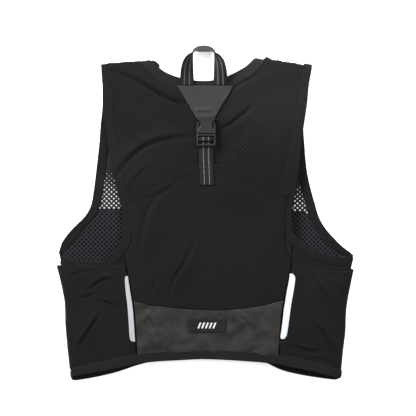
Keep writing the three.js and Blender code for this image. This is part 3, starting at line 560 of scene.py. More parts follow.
def finishMaterial(tree, shader, colour, tone, height, depth):
    tree.links.new(shade(tree, colour, tone), shader.inputs["Base Color"])
    bump = tree.nodes.new("ShaderNodeBump")
    bump.inputs["Distance"].default_value = depth
    tree.links.new(height, bump.inputs["Height"])
    tree.links.new(bump.outputs[0], shader.inputs["Normal"])


def varied(tree, where, scale, amount):
    return useGroup(tree, variationGroup, Vector=where, Scale=scale, Amount=amount)[0]


def startMaterial(name, settings):
    material = bpy.data.materials.new(name)
    material.use_nodes = True
    tree = material.node_tree
    shader = tree.nodes["Principled BSDF"]
    shader.inputs["Roughness"].default_value = settings["roughness"]
    shader.inputs["Sheen Weight"].default_value = settings.get("sheen", 0)
    shader.inputs["Sheen Roughness"].default_value = 0.6
    shader.inputs["Specular IOR Level"].default_value = settings["specular"]
    place = tree.nodes.new("ShaderNodeTexCoord")
    return material, tree, shader, place.outputs["Object"]


# Knitted cloth: fine loops in the surface, a colour that varies softly, and painted light towards the
# right shoulder
def knitMaterial(name, settings):
    material, tree, shader, where = startMaterial(name, settings)
    loops = useGroup(tree, knitGroup, Vector=where, Pitch=settings["pitch"])[0]
    # the soft variation is partly tone that differs at random and partly painted light and shade standing
    # in for the cloth's waves and creases
    cloud = varied(tree, where, settings["cloud"], settings["vary"])
    fleck = varied(tree, where, settings["fleck"], 0.5)
    paintedLight = useGroup(tree, paintedLightGroup, Vector=where)[0]
    # painted light: the cloth's colour is raised towards the right shoulder
    lighter = calculate(tree, "MULTIPLY", paintedLight, settings["paintedLight"])
    tone = calculate(tree, "MULTIPLY", cloud, fleck)
    tone = calculate(tree, "MULTIPLY", tone, calculate(tree, "ADD", lighter, 1.0))
    finishMaterial(tree, shader, settings["color"], tone, loops, settings["depth"])
    return material


def ripstopMaterial(name, settings):
    material, tree, shader, where = startMaterial(name, settings)
    line = useGroup(tree, gridGroup, Vector=where, Pitch=settings["pitch"])[0]
    # the strong soft variation is painted light and shade standing in for the crinkles of the cloth
    cloud = varied(tree, where, settings["cloud"], settings["vary"])
    weave = useGroup(tree, knitGroup, Vector=where, Pitch=settings["thread"])[0]
    lit = mixColours(tree, line, settings["color"], settings["lineColor"])
    height = calculate(tree, "ADD", calculate(tree, "MULTIPLY", weave, 0.4), line)
    finishMaterial(tree, shader, lit, cloud, height, settings["depth"])
    return material


def webbingMaterial(name, settings):
    material, tree, shader, where = startMaterial(name, settings)
    weave = useGroup(tree, webbingGroup, Vector=where.node.outputs["UV"])
    cloud = varied(tree, where, settings["cloud"], settings["vary"])
    share = calculate(tree, "MULTIPLY", weave["Tracer"], settings["tracer"])
    tone = mixColours(tree, share, settings["color"], settings["tracerColor"])
    # painted light and shade: the colour is lighter on the ribs' crests and darker in the grooves between
    # them
    ribs = calculate(tree, "MULTIPLY", weave["Height"], settings["ribs"])
    value = calculate(tree, "MULTIPLY", cloud, calculate(tree, "ADD", ribs, 1.0))
    finishMaterial(tree, shader, tone, value, weave["Height"], settings["depth"])
    return material


# Smooth moulded or coated surfaces with a fine grain
def grainMaterial(name, settings):
    material, tree, shader, where = startMaterial(name, settings)
    cloud = varied(tree, where, settings["cloud"], settings["vary"])
    grain = noise(tree, where, settings["grain"])
    finishMaterial(tree, shader, settings["color"], cloud, grain, settings["depth"])
    return material


clothLook = {
    "color": (0.0065, 0.0065, 0.0065),
    "roughness": 0.95,
    "sheen": 0.02,
    "specular": 0.08,
    "pitch": 0.9 * mm,
    "depth": 0.12 * mm,
    # soft colour variation: partly random tone, partly painted shade of waves and creases
    "vary": 0.5,
    "cloud": 9.0,
    "fleck": 900.0,
    # strength of the painted light at the right shoulder
    "paintedLight": 0.75,
}
# Painted light: the lining is a little lighter than the cloth, to offset the shade in the net's holes
liningLook = {**clothLook, "color": (0.0088, 0.0088, 0.009), "pitch": 0.7 * mm}
# Painted shade: the flask pockets' cloth is painted much darker, standing in for the shadow it lies in
# under the open mesh
shadedLook = {**clothLook, "color": (0.0022, 0.0022, 0.0023), "sheen": 0.0, "specular": 0.03}
bandLook = {**clothLook, "color": (0.0104, 0.01, 0.0094), "pitch": 1.3 * mm, "depth": 0.2 * mm}
edgeLook = {**bandLook, "color": (0.0073, 0.0071, 0.0069)}
meshLook = {**clothLook, "color": (0.016, 0.016, 0.0195), "pitch": 0.6 * mm, "paintedLight": 0.0}
threadLook = {**clothLook, "color": (0.028, 0.027, 0.026), "pitch": 0.4 * mm}
ripstopLook = {
    "color": (0.0115, 0.0104, 0.0095),
    "lineColor": (0.0168, 0.0151, 0.014),
    "roughness": 0.62,
    "specular": 0.3,
    "pitch": 3.6 * mm,
    "thread": 0.5 * mm,
    "depth": 0.1 * mm,
    # painted light and shade of the crinkles, as a strong soft colour variation
    "vary": 2.3,
    "cloud": 52.0,
}
webbingLook = {
    "color": (0.0095, 0.0089, 0.0081),
    "tracerColor": (0.125, 0.122, 0.115),
    "tracer": 1.0,
    # strength of the painted shade in the weave's grooves
    "ribs": 0.22,
    "roughness": 0.85,
    "specular": 0.2,
    "depth": 0.16 * mm,
    "vary": 0.3,
    "cloud": 60.0,
}
webbingBackLook = {**webbingLook, "color": (0.026, 0.0248, 0.0233), "tracer": 0.0}
tabLook = {
    "color": (0.0131, 0.0127, 0.0123),
    "roughness": 0.55,
    "specular": 0.3,
    "grain": 2600.0,
    "depth": 0.05 * mm,
    "vary": 0.25,
    "cloud": 45.0,
}
plasticLook = {**tabLook, "color": (0.0084, 0.0084, 0.0088), "roughness": 0.5, "specular": 0.3}
filmLook = {**tabLook, "color": (0.57, 0.585, 0.615), "roughness": 0.35, "vary": 0.35}
# Painted shade: a darker copy of the same film for the left strip, standing in for the less light that
# the film sends back there
shadedFilmLook = {**filmLook, "color": (0.345, 0.355, 0.37), "vary": 0.6}
patchLook = {**clothLook, "color": (0.013, 0.013, 0.0135), "pitch": 0.8 * mm}

cloth = knitMaterial("stretchKnit", clothLook)
lining = knitMaterial("liningKnit", liningLook)
band = knitMaterial("bindingKnit", bandLook)
edgeBand = knitMaterial("edgeKnit", edgeLook)
openMesh = knitMaterial("openMesh", meshLook)
thread = knitMaterial("sewingThread", threadLook)
ripstop = ripstopMaterial("ripstop", ripstopLook)
webbing = webbingMaterial("webbingFace", webbingLook)
webbingBack = webbingMaterial("webbingBack", webbingBackLook)
coatedTab = grainMaterial("coatedTab", tabLook)
plastic = grainMaterial("moulded", plasticLook)
film = grainMaterial("reflectiveFilm", filmLook)
shadedFilm = grainMaterial("shadedFilm", shadedFilmLook)
shadedCloth = knitMaterial("shadedKnit", shadedLook)
patchCloth = knitMaterial("patchCloth", patchLook)
print("stage: materials built")


# Soft pieces that follow the solids of the frame


sides = ("left", "right")
sideSoft = {
    # the flask pockets take the darker cloth of painted shade
    "flaskPocket": {"solid": "front_pocket_{}", "slot": "stretch_cloth", "material": shadedCloth},
    "sidePanel": {
        "solid": "side_panel_{}",
        "slot": "stretch_cloth",
        "material": cloth,
        "levels": 2,
        "relief": bodyRelief,
    },
    "sidePocket": {
        "solid": "side_pocket_{}",
        "slot": "stretch_cloth",
        "material": cloth,
        "relief": sideRelief,
        "meets": ["hem_binding"],
    },
    "armholeBand": {
        "solid": "armhole_binding_{}",
        "slot": "binding",
        "material": edgeBand,
        "relief": bodyRelief,
        "meets": ["front_panel_{}", "back_panel", "side_panel_{}"],
    },
}
middleSoft = {
    "zip": {"solid": "front_zip", "slot": "moulded", "material": plastic, "levels": 2},
    "pocket": {
        "solid": "back_pocket",
        "slot": "stretch_cloth",
        "material": cloth,
        "relief": pocketRelief,
        "meets": ["armhole_binding_left", "armhole_binding_right"],
    },
    "lowerPanel": {
        "solid": "lower_panel",
        "slot": "ripstop",
        "material": ripstop,
        "levels": 4,
        "relief": crinkleRelief,
        "meets": ["hem_binding"],
        "reach": 1.5 * mm,
    },
    "neckBand": {
        "solid": "neck_binding",
        "slot": "binding",
        "material": band,
        "relief": bodyRelief,
        "meets": ["back_panel", "front_panel_left", "front_panel_right", "front_zip"],
    },
    "hemBand": {
        "solid": "hem_binding",
        "slot": "binding",
        "material": band,
        "relief": bodyRelief,
        "meets": ["back_panel", "front_panel_left", "front_panel_right", "side_panel_left"]
        + ["side_panel_right", "side_pocket_left", "side_pocket_right", "lower_panel"],
    },
    "tab": {"solid": "yoke_tab", "slot": "coated_tab", "material": coatedTab, "relief": bodyRelief},
}


def addSoft(name, settings, side=""):
    solid = settings["solid"].format(side)
    meets = [node.format(side) for node in settings.get("meets", [])]
    reach = settings.get("reach", 2 * mm)
    mesh = softCopy(solid, name, settings.get("levels", 3), meets=meets, reach=reach)
    if "relief" in settings:
        liftPoints(mesh, settings["relief"])
    addPiece(name, mesh, [settings["material"]], [solid])


for side in sides:
    for name, settings in sideSoft.items():
        addSoft(name + side.capitalize(), settings, side)
for name, settings in middleSoft.items():
    addSoft(name, settings)


def easeIn(values, start, stop):
    share = np.clip((values - start) / (stop - start), 0, 1)
    return share * share * (3 - 2 * share)


# The outer edges of the flask pockets lie further out, towards the armhole
def spreadPocket(name, sign, steps, raised):
    mesh = pieces[name].data
    points = readPoints(mesh)
    out = easeIn(sign * points[:, 0], 120 * mm, 150 * mm)
    down = -points[:, 1]
    for start, stop, reach in steps:
        points[:, 0] += sign * reach * mm * easeIn(down, start * mm, stop * mm) * out
    points[:, 1] += raised * mm * easeIn(points[:, 1], -40 * mm, 2 * mm)
    writePoints(mesh, points)


# The tab leans to the left, and a loop of webbing shows through it as a low block
def shapeTab():
    mesh = pieces["tab"].data
    points = readPoints(mesh)
    left = easeIn(-points[:, 0], -10 * mm, 12 * mm)
    points[:, 0] -= 2.2 * mm * left
    spot = points / mm
    block = easeIn(spot[:, 1], 139.5, 140.9) * easeIn(-spot[:, 1], -146.2, -144.8)
    block *= easeIn(spot[:, 0], -12.5, -11) * easeIn(-spot[:, 0], -10, -8.5)
    points[:, 2] += 0.7 * mm * block
    writePoints(mesh, points)


# The hem's corners reach out as far as the side pockets
def spreadHem():
    mesh = pieces["hemBand"].data
    points = readPoints(mesh)
    out = easeIn(np.abs(points[:, 0]), 120 * mm, 184 * mm)
    points[:, 0] += np.sign(points[:, 0]) * 6.0 * mm * out
    points[:, 1] -= 1.2 * mm * out
    points[:, 2] += 2.6 * mm * easeIn(points[:, 2], 5 * mm, 10 * mm)
    writePoints(mesh, points)


spreadPocket("flaskPocketLeft", -1, [(-5, 20, 10), (28, 60, 27), (48, 60, 7)], 3.8)
spreadPocket("flaskPocketRight", 1, [(-8, 12, 11), (38, 62, 18), (46, 58, 8)], 0.8)
shapeTab()
spreadHem()
print("stage: soft pieces made")


# Narrow sheets between two rails: the neck band's inner layers and the light strips
neckLayers = {
    "left": {
        "outer": [
            (181, 79.4), (169.7, 75.6), (159.6, 68.3), (159.5, 64.5),
            (154, 60.1), (147.5, 61), (145.7, 60.2), (141, 62.5),
        ],
        "inner": [(180, 88), (168, 85), (158, 81), (154, 78), (150, 75), (145, 72), (142, 70), (140, 67)],
    },
    "right": {
        "outer": [
            (273, 59.5), (266.7, 56.3), (263.3, 58.8), (255.3, 57.6),
            (250.7, 61.6), (241.3, 69.4), (230, 75),
        ],
        "inner": [(273, 64), (269, 64), (266, 65), (261, 65), (256, 68), (246, 75), (234, 80)],
    },
}
strips = {
    "left": {
        "outer": [
            (126, 275.9), (125.5, 280.5), (126.5, 292.5), (128, 305), (128.9, 317),
            (129.5, 327), (130, 335), (130.9, 339.3), (132.6, 340.8),
        ],
        "inner": [
            (128.4, 275.7), (129.2, 281.5), (130.9, 292.5), (132.7, 304), (133.9, 316),
            (134.6, 327), (135.1, 334.5), (135.5, 339.8), (135.4, 340.9),
        ],
    },
    "right": {
        "outer": [
            (289.2, 273.2), (288.4, 280), (286.4, 290.6), (284.9, 300), (283.4, 309.4),
            (282.1, 320.8), (280.9, 330.2), (280.1, 336.5), (280.9, 338.3),
        ],
        "inner": [
            (291.8, 273.4), (294, 277.5), (292.8, 288.7), (291.3, 298.1), (289.6, 309.4),
            (288.4, 319.5), (287.2, 328.3), (286.1, 334.5), (284, 338.1),
        ],
    },
}


# From places in the photo, in its pixels, to millimetres
def fromPicture(spots):
    spots = np.array(spots, float)
    x = (spots[:, 0] - 205.5) * 1.40067 + 0.965
    y = (380 - spots[:, 1]) * 1.39937 - 234.843
    return np.column_stack([x, y])


def buildRailed(name, rails, wall, level):
    columns, rows = 60, 7
    outer = curveThrough(fromPicture(rails["outer"]), columns)
    inner = curveThrough(fromPicture(rails["inner"]), columns)
    shares = np.linspace(0, 1, rows)
    heights = level(outer, inner, shares)
    points = []
    for side in (0.5, -0.5):
        for t, row in zip(shares, heights):
            bulge = math.sqrt(max(1 - (2 * t - 1) ** 2, 0))
            for a, b, z in zip(outer, inner, row):
                points.append((*(a * (1 - t) + b * t), z + side * bulge * wall))
    return makeMesh(name, points, sheetFaces(columns, rows))


def neckLevel(outer, inner, shares):
    return [[(4.6 + 1.2 * t) * mm] * len(outer) for t in shares]


# The strips lie on the highest cloth under them, smoothed along their length
def stripLevel(outer, inner, shares):
    under = [pieces[name].data for name in ("pocket", "sidePocketLeft", "sidePocketRight", "lowerPanel")]
    tree = treeOf(under)
    tops = []
    for a, b in zip(outer, inner):
        hits = [dropOn(tree, *(a * (1 - t) + b * t)) for t in shares]
        tops.append(max(hit.z for hit in hits if hit))
    padded = np.pad(tops, 4, "edge")
    smooth = np.maximum(np.convolve(padded, np.ones(9) / 9, "valid"), np.array(tops) - 0.2 * mm)
    return [smooth + 0.35 * mm] * len(shares)


# the left strip takes the darker copy of the film: painted shade
for side, light in zip(sides, (shadedFilm, film)):
    label = side.capitalize()
    layer = buildRailed("neckLayer" + label, neckLayers[side], 1.0 * mm, neckLevel)
    addPiece("neckLayer" + label, layer, [band])
    strip = buildRailed("reflective" + label, strips[side], 0.5 * mm, stripLevel)
    addPiece("reflective" + label, strip, [light], [f"reflective_strip_{side}"])


# Open mesh: threads round staggered holes, over a region of the floor plan


# Points outside the region move onto its edge, where its cover has the value edge
def pullInside(points, cover, edge):
    spots = points.copy()
    tiny = 0.5 * mm
    for again in range(4):
        x, y = spots[:, 0], spots[:, 1]
        value = cover(x, y)
        dx = (cover(x + tiny, y) - cover(x - tiny, y)) / (2 * tiny)
        dy = (cover(x, y + tiny) - cover(x, y - tiny)) / (2 * tiny)
        steep = np.maximum(dx**2 + dy**2, 1e3)
        move = np.clip(edge - value, 0, None) / steep
        spots[:, 0] += np.clip(move * dx, -2 * mm, 2 * mm)
        spots[:, 1] += np.clip(move * dy, -2 * mm, 2 * mm)
    return spots


# Diamond cells; sizeAt gives each hole's size as a share, and 0 closes the cell
def buildNet(name, inside, sizeAt, cover, height, net):
    half = net["pitch"] / 2
    low, high = cadBox
    corner = np.array([low[0], low[1]])
    columns = int((high[0] - low[0]) / half / 2) + 2
    rows = int((high[1] - low[1]) / half) + 2
    cells = np.array([(2 * i + j % 2, j) for j in range(rows) for i in range(columns)])
    centres = cells * half + corner
    kept = inside(centres[:, 0], centres[:, 1])
    cells, centres = cells[kept], centres[kept]
    sizes = sizeAt(centres[:, 0], centres[:, 1]).astype(float)
    rim = [(2, 0), (1, 1), (0, 2), (-1, 1), (-2, 0), (-1, -1), (0, -2), (1, -1)]
    turns = np.arange(8) * math.pi / 4
    hole = net["hole"] * np.stack([np.cos(turns), np.sin(turns)], axis=1)
    known, plan, crest, top = {}, [], [], []
    for (i, j), spot, size in zip(cells.tolist(), centres, sizes):
        ring = []
        for di, dj in rim:
            key = (2 * i + di, 2 * j + dj)
            if key not in known:
                known[key] = len(plan)
                plan.append((corner[0] + key[0] * half / 2, corner[1] + key[1] * half / 2))
                crest.append(1.0)
            ring.append(known[key])
        start = len(plan)
        if size > 0:
            plan += [tuple(spot + size * h) for h in hole]
            crest += [0.0] * 8
            for k in range(8):
                n = (k + 1) % 8
                top.append([ring[k], ring[n], start + n, start + k])
        else:
            plan.append(tuple(spot))
            crest.append(0.0)
            for k in range(0, 8, 2):
                top.append([ring[k], ring[k + 1], ring[(k + 2) % 8], start])
    plan = pullInside(np.array(plan), cover, net["edge"])
    base = height(plan[:, 0], plan[:, 1])
    arch = np.array(crest) * net["arch"]
    over = np.column_stack([plan, base + net["wall"] / 2 + arch])
    under = np.column_stack([plan, base - net["wall"] / 2])
    count = len(plan)
    links = {(f[k], f[(k + 1) % 4]) for f in top for k in range(4)}
    ends = [(a, b) for a, b in links if (b, a) not in links]
    walls = [(b, a, a + count, b + count) for a, b in sorted(ends)]
    bottom = [[i + count for i in reversed(f)] for f in top]
    return makeMesh(name, np.vstack([over, under]), top + bottom + walls)


frontNet = {"pitch": 6.4 * mm, "hole": 1.22 * mm, "wall": 0.5 * mm, "arch": 0.2 * mm, "edge": 0.5}
backNet = {"pitch": 6.2 * mm, "hole": 0.62 * mm, "wall": 0.25 * mm, "arch": 0.03 * mm, "edge": 0.5}


# Above the line openUpTo a layer of the front closes the mesh, and near it holes are smaller
def buildFront(side, sign, openUpTo):
    def inFront(x, y):
        return (frontMap.share(x, y) > 0.35) & (x * sign > 5 * mm)

    def holeSize(x, y):
        below = openUpTo - y
        size = 0.5 + 0.5 * easeIn(below, 0, 30 * mm)
        return np.where((overMap.share(x, y) < 0.9) & (below > 0), size, 0)

    def level(x, y):
        return frontMap.height(x, y) - 0.6 * mm

    name = "frontPanel" + side.capitalize()
    panel = buildNet(name, inFront, holeSize, frontMap.share, level, frontNet)
    addPiece(name, panel, [openMesh], [f"front_panel_{side}"])


buildFront("left", -1, 57 * mm)
buildFront("right", 1, 38 * mm)
print("stage: front nets made")


mouthLine = [(-121, 18), (-81, 38), (-38, 54), (-12, 65), (10, 68), (32, 63), (83, 39), (130, 21)]
# Middle, half size and strength of the spots where light gets through the yoke's mesh
paleSpots = [
    ((-28, 140), (24, 17), 0.5),
    ((40, 128), (17, 22), 1.0),
    ((52, 96), (22, 24), 0.9),
    ((-20, 78), (12, 10), 0.6),
    ((-127, 143), (7, 22), 0.35),
    ((72, 172), (17, 13), 0.35),
    ((34, 78), (18, 12), 0.6),
    ((-72, 176), (11, 15), 0.3),
]


def paleness(x, y):
    amount = np.zeros_like(x)
    for middle, size, strength in paleSpots:
        across, along = (x / mm - middle[0]) / size[0], (y / mm - middle[1]) / size[1]
        amount = np.maximum(amount, strength * np.exp(-((across**2 + along**2) ** 2)))
    return amount


def aboveMouth(x, y, margin):
    line = np.array(mouthLine) * mm
    return y > np.interp(x, line[:, 0], line[:, 1]) - margin


# The lining keeps to the lowest level near each of its points, so it stays under the net
def lowestRelief(x, y):
    level = bodyRelief(x, y)
    for across, along in ((3, 0), (-3, 0), (0, 3), (0, -3)):
        level = np.minimum(level, bodyRelief(x + across * mm, y + along * mm))
    return level


def buildBack():
    under = softCopy("back_panel", "lining")
    points = readPoints(under)
    deep = aboveMouth(points[:, 0], points[:, 1], 10 * mm) * 0.65 * mm
    points[:, 2] -= deep
    writePoints(under, points)

    def inBack(x, y):
        return (backMap.share(x, y) > 0.38) & aboveMouth(x, y, 8 * mm)

    def overLining(x, y):
        return backMap.height(x, y) - 0.1 * mm

    def holeSize(x, y):
        pale = paleness(x, y)
        return np.where(pale > 0.01, 0.45 + 0.62 * np.sqrt(pale), 0)

    net = buildNet("net", inBack, holeSize, backMap.share, overLining, backNet)
    liftPoints(net, bodyRelief)
    liftPoints(under, lowestRelief)
    joined = joinMeshes("back", [under, net], apart=True)
    pale = joined.color_attributes.new("pale", "FLOAT_COLOR", "POINT")
    points = readPoints(joined)
    amount = paleness(points[:, 0], points[:, 1])
    pale.data.foreach_set("color", np.repeat(amount, 4).astype(np.float32))
    addPiece("back", joined, [lining, cloth], ["back_panel"])


# Painted light: the lining's colour turns pale where light gets through the yoke's mesh, by the pale
# attribute
def showPale(material, colour):
    tree = material.node_tree
    shader = tree.nodes["Principled BSDF"]
    before = shader.inputs["Base Color"].links[0].from_socket
    pale = tree.nodes.new("ShaderNodeAttribute")
    pale.attribute_name = "pale"
    mixed = mixColours(tree, pale.outputs["Fac"], before, colour)
    tree.links.new(mixed, shader.inputs["Base Color"])


showPale(lining, (0.12, 0.12, 0.123))
buildBack()
print("stage: back net made")


# Webbing: a flat band with rounded edges, carried along stations


def buildRibbon(name, stations, width, wall):
    half, thick, corner = width / 2, wall / 2, 0.5 * mm
    places = [-half + corner, -half * 0.5, 0, half * 0.5, half - corner]
    section = [(p, thick) for p in places] + [(half, 0)]
    section += [(p, -thick) for p in reversed(places)] + [(-half, 0)]
    points, along = [], [0.0]
    for k, (spot, across, up) in enumerate(stations):
        points += [spot + across * a + up * b for a, b in section]
        if k:
            along.append(along[-1] + float(np.linalg.norm(spot - stations[k - 1][0])))
    ring = len(section)
    faces, marks, uvs = [], [], []
    for k in range(len(stations) - 1):
        for i in range(ring):
            n = (i + 1) % ring
            corners = [(k, i), (k, n), (k + 1, n), (k + 1, i)]
            faces.append([row * ring + column for row, column in corners])
            marks.append(1 if 5 < i < ring - 1 else 0)
            uvs += [(section[c][0] / width + 0.5, along[r] / mm) for r, c in corners]
    last = (len(stations) - 1) * ring
    for cap in (list(range(ring)), [last + i for i in reversed(range(ring))]):
        faces.append(cap)
        marks.append(0)
        uvs += [(0.5, 0.0)] * ring
    mesh = makeMesh(name, points, faces)
    mesh.polygons.foreach_set("material_index", marks)
    layer = mesh.uv_layers.new(name="UVMap")
    layer.data.foreach_set("uv", np.array(uvs, np.float32).ravel())
    # every face turned outward
    work = bmesh.new()
    work.from_mesh(mesh)
    bmesh.ops.recalc_face_normals(work, faces=work.faces)
    work.to_mesh(mesh)
    work.free()
    return mesh


def unit(vector):
    return vector / max(float(np.linalg.norm(vector)), 1e-9)


grabLoop = {
    "spread": 46.5 * mm,
    "rise": 51.6 * mm,
    "turn": 124,
    "drop": 11.5 * mm,
    "width": 19.6 * mm,
    "wall": 1.5 * mm,
    "foot": 177.2 * mm,
    "level": 15.2 * mm,
    "centre": -1.5 * mm,
    "path": [
        (0, 1, 0, 0),
        (0.2, 1, 0.25, 0.13),
        (0.345, 0.985, 0.42, 0.23),
        (0.474, 0.94, 0.575, 0.33),
        (0.577, 0.86, 0.695, 0.46),
        (0.651, 0.775, 0.77, 0.57),
        (0.717, 0.675, 0.835, 0.69),
        (0.778, 0.61, 0.89, 0.8),
        (0.848, 0.54, 0.943, 0.9),
        (0.926, 0.32, 0.984, 0.975),
        (1, 0, 1, 1),
    ],
}


def buildLoop():
    table = np.array(grabLoop["path"], float)
    steps = 96
    shares = 1 - np.abs(np.linspace(-1, 1, steps + 1))
    sign = np.sign(np.linspace(-1, 1, steps + 1))
    out, up, turn = [np.interp(shares, table[:, 0], table[:, k]) for k in (1, 2, 3)]
    kernel = np.array([1, 2, 3, 2, 1]) / 9
    x = grabLoop["centre"] + sign * out * grabLoop["spread"] / 2
    y = grabLoop["foot"] + up * grabLoop["rise"]
    angle = np.radians(turn * grabLoop["turn"])
    for values in (x, y, angle):
        padded = np.concatenate([[values[0]] * 2, values, [values[-1]] * 2])
        values[2:-2] = np.convolve(padded, kernel, "valid")[2:-2]
    fall = easeIn(up, 0.4, 1) * grabLoop["drop"]
    z = grabLoop["level"] + np.sin(angle) * grabLoop["width"] / 2 - fall
    stations = []
    for k in range(steps + 1):
        a, b = max(k - 1, 0), min(k + 1, steps)
        run = unit(np.array([x[b] - x[a], y[b] - y[a], 0.0]))
        left = np.array([-run[1], run[0], 0.0])
        across = -left * math.cos(angle[k]) - np.array([0, 0, 1]) * math.sin(angle[k])
        up3 = -left * math.sin(angle[k]) + np.array([0, 0, 1]) * math.cos(angle[k])
        stations.append((np.array([x[k], y[k], z[k]]), across, up3))
    mesh = buildRibbon("grabLoop", stations, grabLoop["width"], grabLoop["wall"])
    addPiece("grabLoop", mesh, [webbing, webbingBack], ["handle_loop"])


buildLoop()


# Places along Y in millimetres, the bar's place in the buckle's frame and the turn round it
strapWay = {"up": (69.5, 80, 90), "down": (92, 86, 76, 66, 56, 47), "bar": 6.2, "rise": 1.2, "turn": 2.3}


# The strap: up under the buckle's frame, over its bar and back down as the tail
def buildStrap():
    low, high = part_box("closure_strap")
    plugLow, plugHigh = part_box("buckle_plug")
    tree = treeOf([nodes["closure_strap"].data])
    centre = (low[0] + high[0]) / 2
    barY = plugHigh[1] - strapWay["bar"] * mm
    barZ = plugLow[2] + strapWay["rise"] * mm
    under = low[2] + 0.8 * mm
    turn = strapWay["turn"] * mm
    route = [(y * mm, under) for y in strapWay["up"]] + [(barY - 3 * mm, under)]
    for k in range(7):
        angle = -math.pi / 2 + math.pi * k / 6
        route.append((barY + turn * math.cos(angle), barZ + turn * math.sin(angle)))
    route.append((barY - turn, barZ + turn))
    for y in (barY - 5 * mm, *(y * mm for y in strapWay["down"]), low[1] + 0.3 * mm):
        route.append((y, dropOn(tree, centre, y).z - 0.75 * mm))
    line = curveThrough(np.array(route) / mm, 110)
    stations = []
    for k, (y, z) in enumerate(line):
        a, b = line[max(k - 1, 0)], line[min(k + 1, len(line) - 1)]
        run = unit(np.array([0, b[0] - a[0], b[1] - a[1]]))
        across = np.array([-1.0, 0, 0])
        aside = 2.2 * mm * max(0.0, 1 - k / 36)
        aside += (1.6 * easeIn(-y, -88 * mm, -40 * mm) - 0.5) * mm
        stations.append((np.array([centre + aside, y, z]), across, np.cross(run, across)))
    mesh = buildRibbon("strap", stations, grabLoop["width"], grabLoop["wall"])
    points = readPoints(mesh)
    middle = np.full(len(points), centre)
    tailShare = easeIn(-points[:, 1], -92 * mm, -60 * mm)
    level = bodyRelief(middle, points[:, 1])
    puffed = pocketRelief(middle, points[:, 1])
    points[:, 2] += level + (puffed - level) * tailShare
    writePoints(mesh, points)
    addPiece("strap", mesh, [webbing, webbing], ["closure_strap"])


buildStrap()
print("stage: webbing made")


# Buckle: plates cut from an outline, with rounded edges


def roundOff(corners, radius):
    corners = np.array(corners, float)
    outline = []
    for k, corner in enumerate(corners):
        before, after = corners[k - 1] - corner, corners[(k + 1) % len(corners)] - corner
        a = corner + unit(before) * min(radius, np.linalg.norm(before) * 0.45)
        b = corner + unit(after) * min(radius, np.linalg.norm(after) * 0.45)
        for t in (0, 0.25, 0.5, 0.75, 1):
            outline.append((1 - t) ** 2 * a + 2 * t * (1 - t) * corner + t * t * b)
    return outline


def plateMesh(name, outlines, low, high, bevel):
    curve = bpy.data.curves.new(name, "CURVE")
    curve.dimensions = "2D"
    curve.fill_mode = "BOTH"
    for outline in outlines:
        spline = curve.splines.new("POLY")
        spline.points.add(len(outline) - 1)
        for point, (x, y) in zip(spline.points, outline):
            point.co = (x * mm, y * mm, 0, 1)
        spline.use_cyclic_u = True
    curve.extrude = ((high - low) / 2 - bevel) * mm
    curve.bevel_depth = bevel * mm
    curve.bevel_resolution = 2
    curve.offset = -bevel * mm
    mesh = bakeObject(addObject(name, curve), name)
    mesh.transform(Matrix.Translation((0, 0, (low + high) / 2 * mm)))
    return mesh


def mirrored(points):
    return list(points) + [(-x, y) for x, y in reversed(points)]


# The right half of each outline; the plates are mirrored from it
socketPlan = {
    "wall": 8,
    "outline": [
        (13.2, 0), (13.2, 7.2), (11.2, 8.4), (9, 10.6),
        (9, 15.2), (11, 17.4), (12.6, 18.8), (13.2, 22),
    ],
    "lid": [
        (11.8, 0.8), (11.4, 6.4), (9.4, 8), (7.6, 10.4),
        (7.6, 15.4), (9.6, 17.6), (11.4, 19), (11.8, 21),
    ],
    "rib": [(0.7, 3), (0.7, 18.5)],
    "lip": [(11.6, 0.6), (11.6, 2.6)],
    "root": [(11.4, 18.9), (11.4, 20.6)],
}
plugPlan = {
    "wall": 3.5,
    "rim": [(13.2, 0.1), (13.2, 16.4)],
    "window": [(10.8, 2.7), (10.8, 13.7)],
    "prong": [
        (13.0, 13.4), (13.4, 25), (12.6, 31.4), (9.6, 33.4),
        (8.6, 32.2), (10.8, 30.4), (11.2, 25), (10.4, 17),
    ],
    "bar": [(11.5, 9.2), (11.5, 11.4)],
}


def placeBuckle(name, plates, nodeName):
    low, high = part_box(nodeName)
    x, y = (low[0] + high[0]) / 2, low[1]
    mesh = joinMeshes(name, plates)
    lift = float(bodyRelief(np.array([x]), np.array([y]))[0])
    mesh.transform(Matrix.Translation((x, y, lift)))
    addPiece(name, mesh, [plastic], [nodeName])


def buildSocket():
    floor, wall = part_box("buckle_socket")[0][2] / mm, socketPlan["wall"]
    plates = []
    layers = [
        ("outline", floor, floor + wall * 0.72, 1.0, 0.8),
        ("lid", floor + wall * 0.4, floor + wall - 0.5, 1.0, 1.0),
        ("rib", floor + wall - 1.6, floor + wall, 0.5, 0.6),
        ("lip", floor + wall * 0.5, floor + wall - 0.1, 0.7, 0.8),
        ("root", floor + wall * 0.5, floor + wall - 0.1, 0.6, 0.8),
    ]
    for label, bottom, top, bevel, corner in layers:
        outline = roundOff(mirrored(socketPlan[label]), corner)
        plates.append(plateMesh(label, [outline], bottom, top, bevel))
    placeBuckle("socket", plates, "buckle_socket")


def buildPlug():
    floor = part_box("buckle_plug")[0][2] / mm + 1.2
    top = floor + plugPlan["wall"]
    rim = roundOff(mirrored(plugPlan["rim"]), 2.4)
    window = roundOff(mirrored(plugPlan["window"]), 1.2)
    plates = [plateMesh("rim", [rim, window], floor, top, 0.8)]
    for sign in (-1, 1):
        prong = roundOff([(sign * x, y) for x, y in plugPlan["prong"]], 1.5)
        plates.append(plateMesh("prong", [prong], floor - 1.4, top - 1.0, 0.6))
    plates.append(plateMesh("bar", [mirrored(plugPlan["bar"])], floor - 1.2, floor + 1.2, 1.05))
    placeBuckle("plug", plates, "buckle_plug")


buildSocket()
buildPlug()
print("stage: buckle made")


# Patch: a dark plate with a few light slanted bars laid on it
patchBars = {"count": 5, "pitch": 5.2, "width": 2.4, "height": 8, "slant": 3.2, "wall": 0.2, "sunk": -0.1}


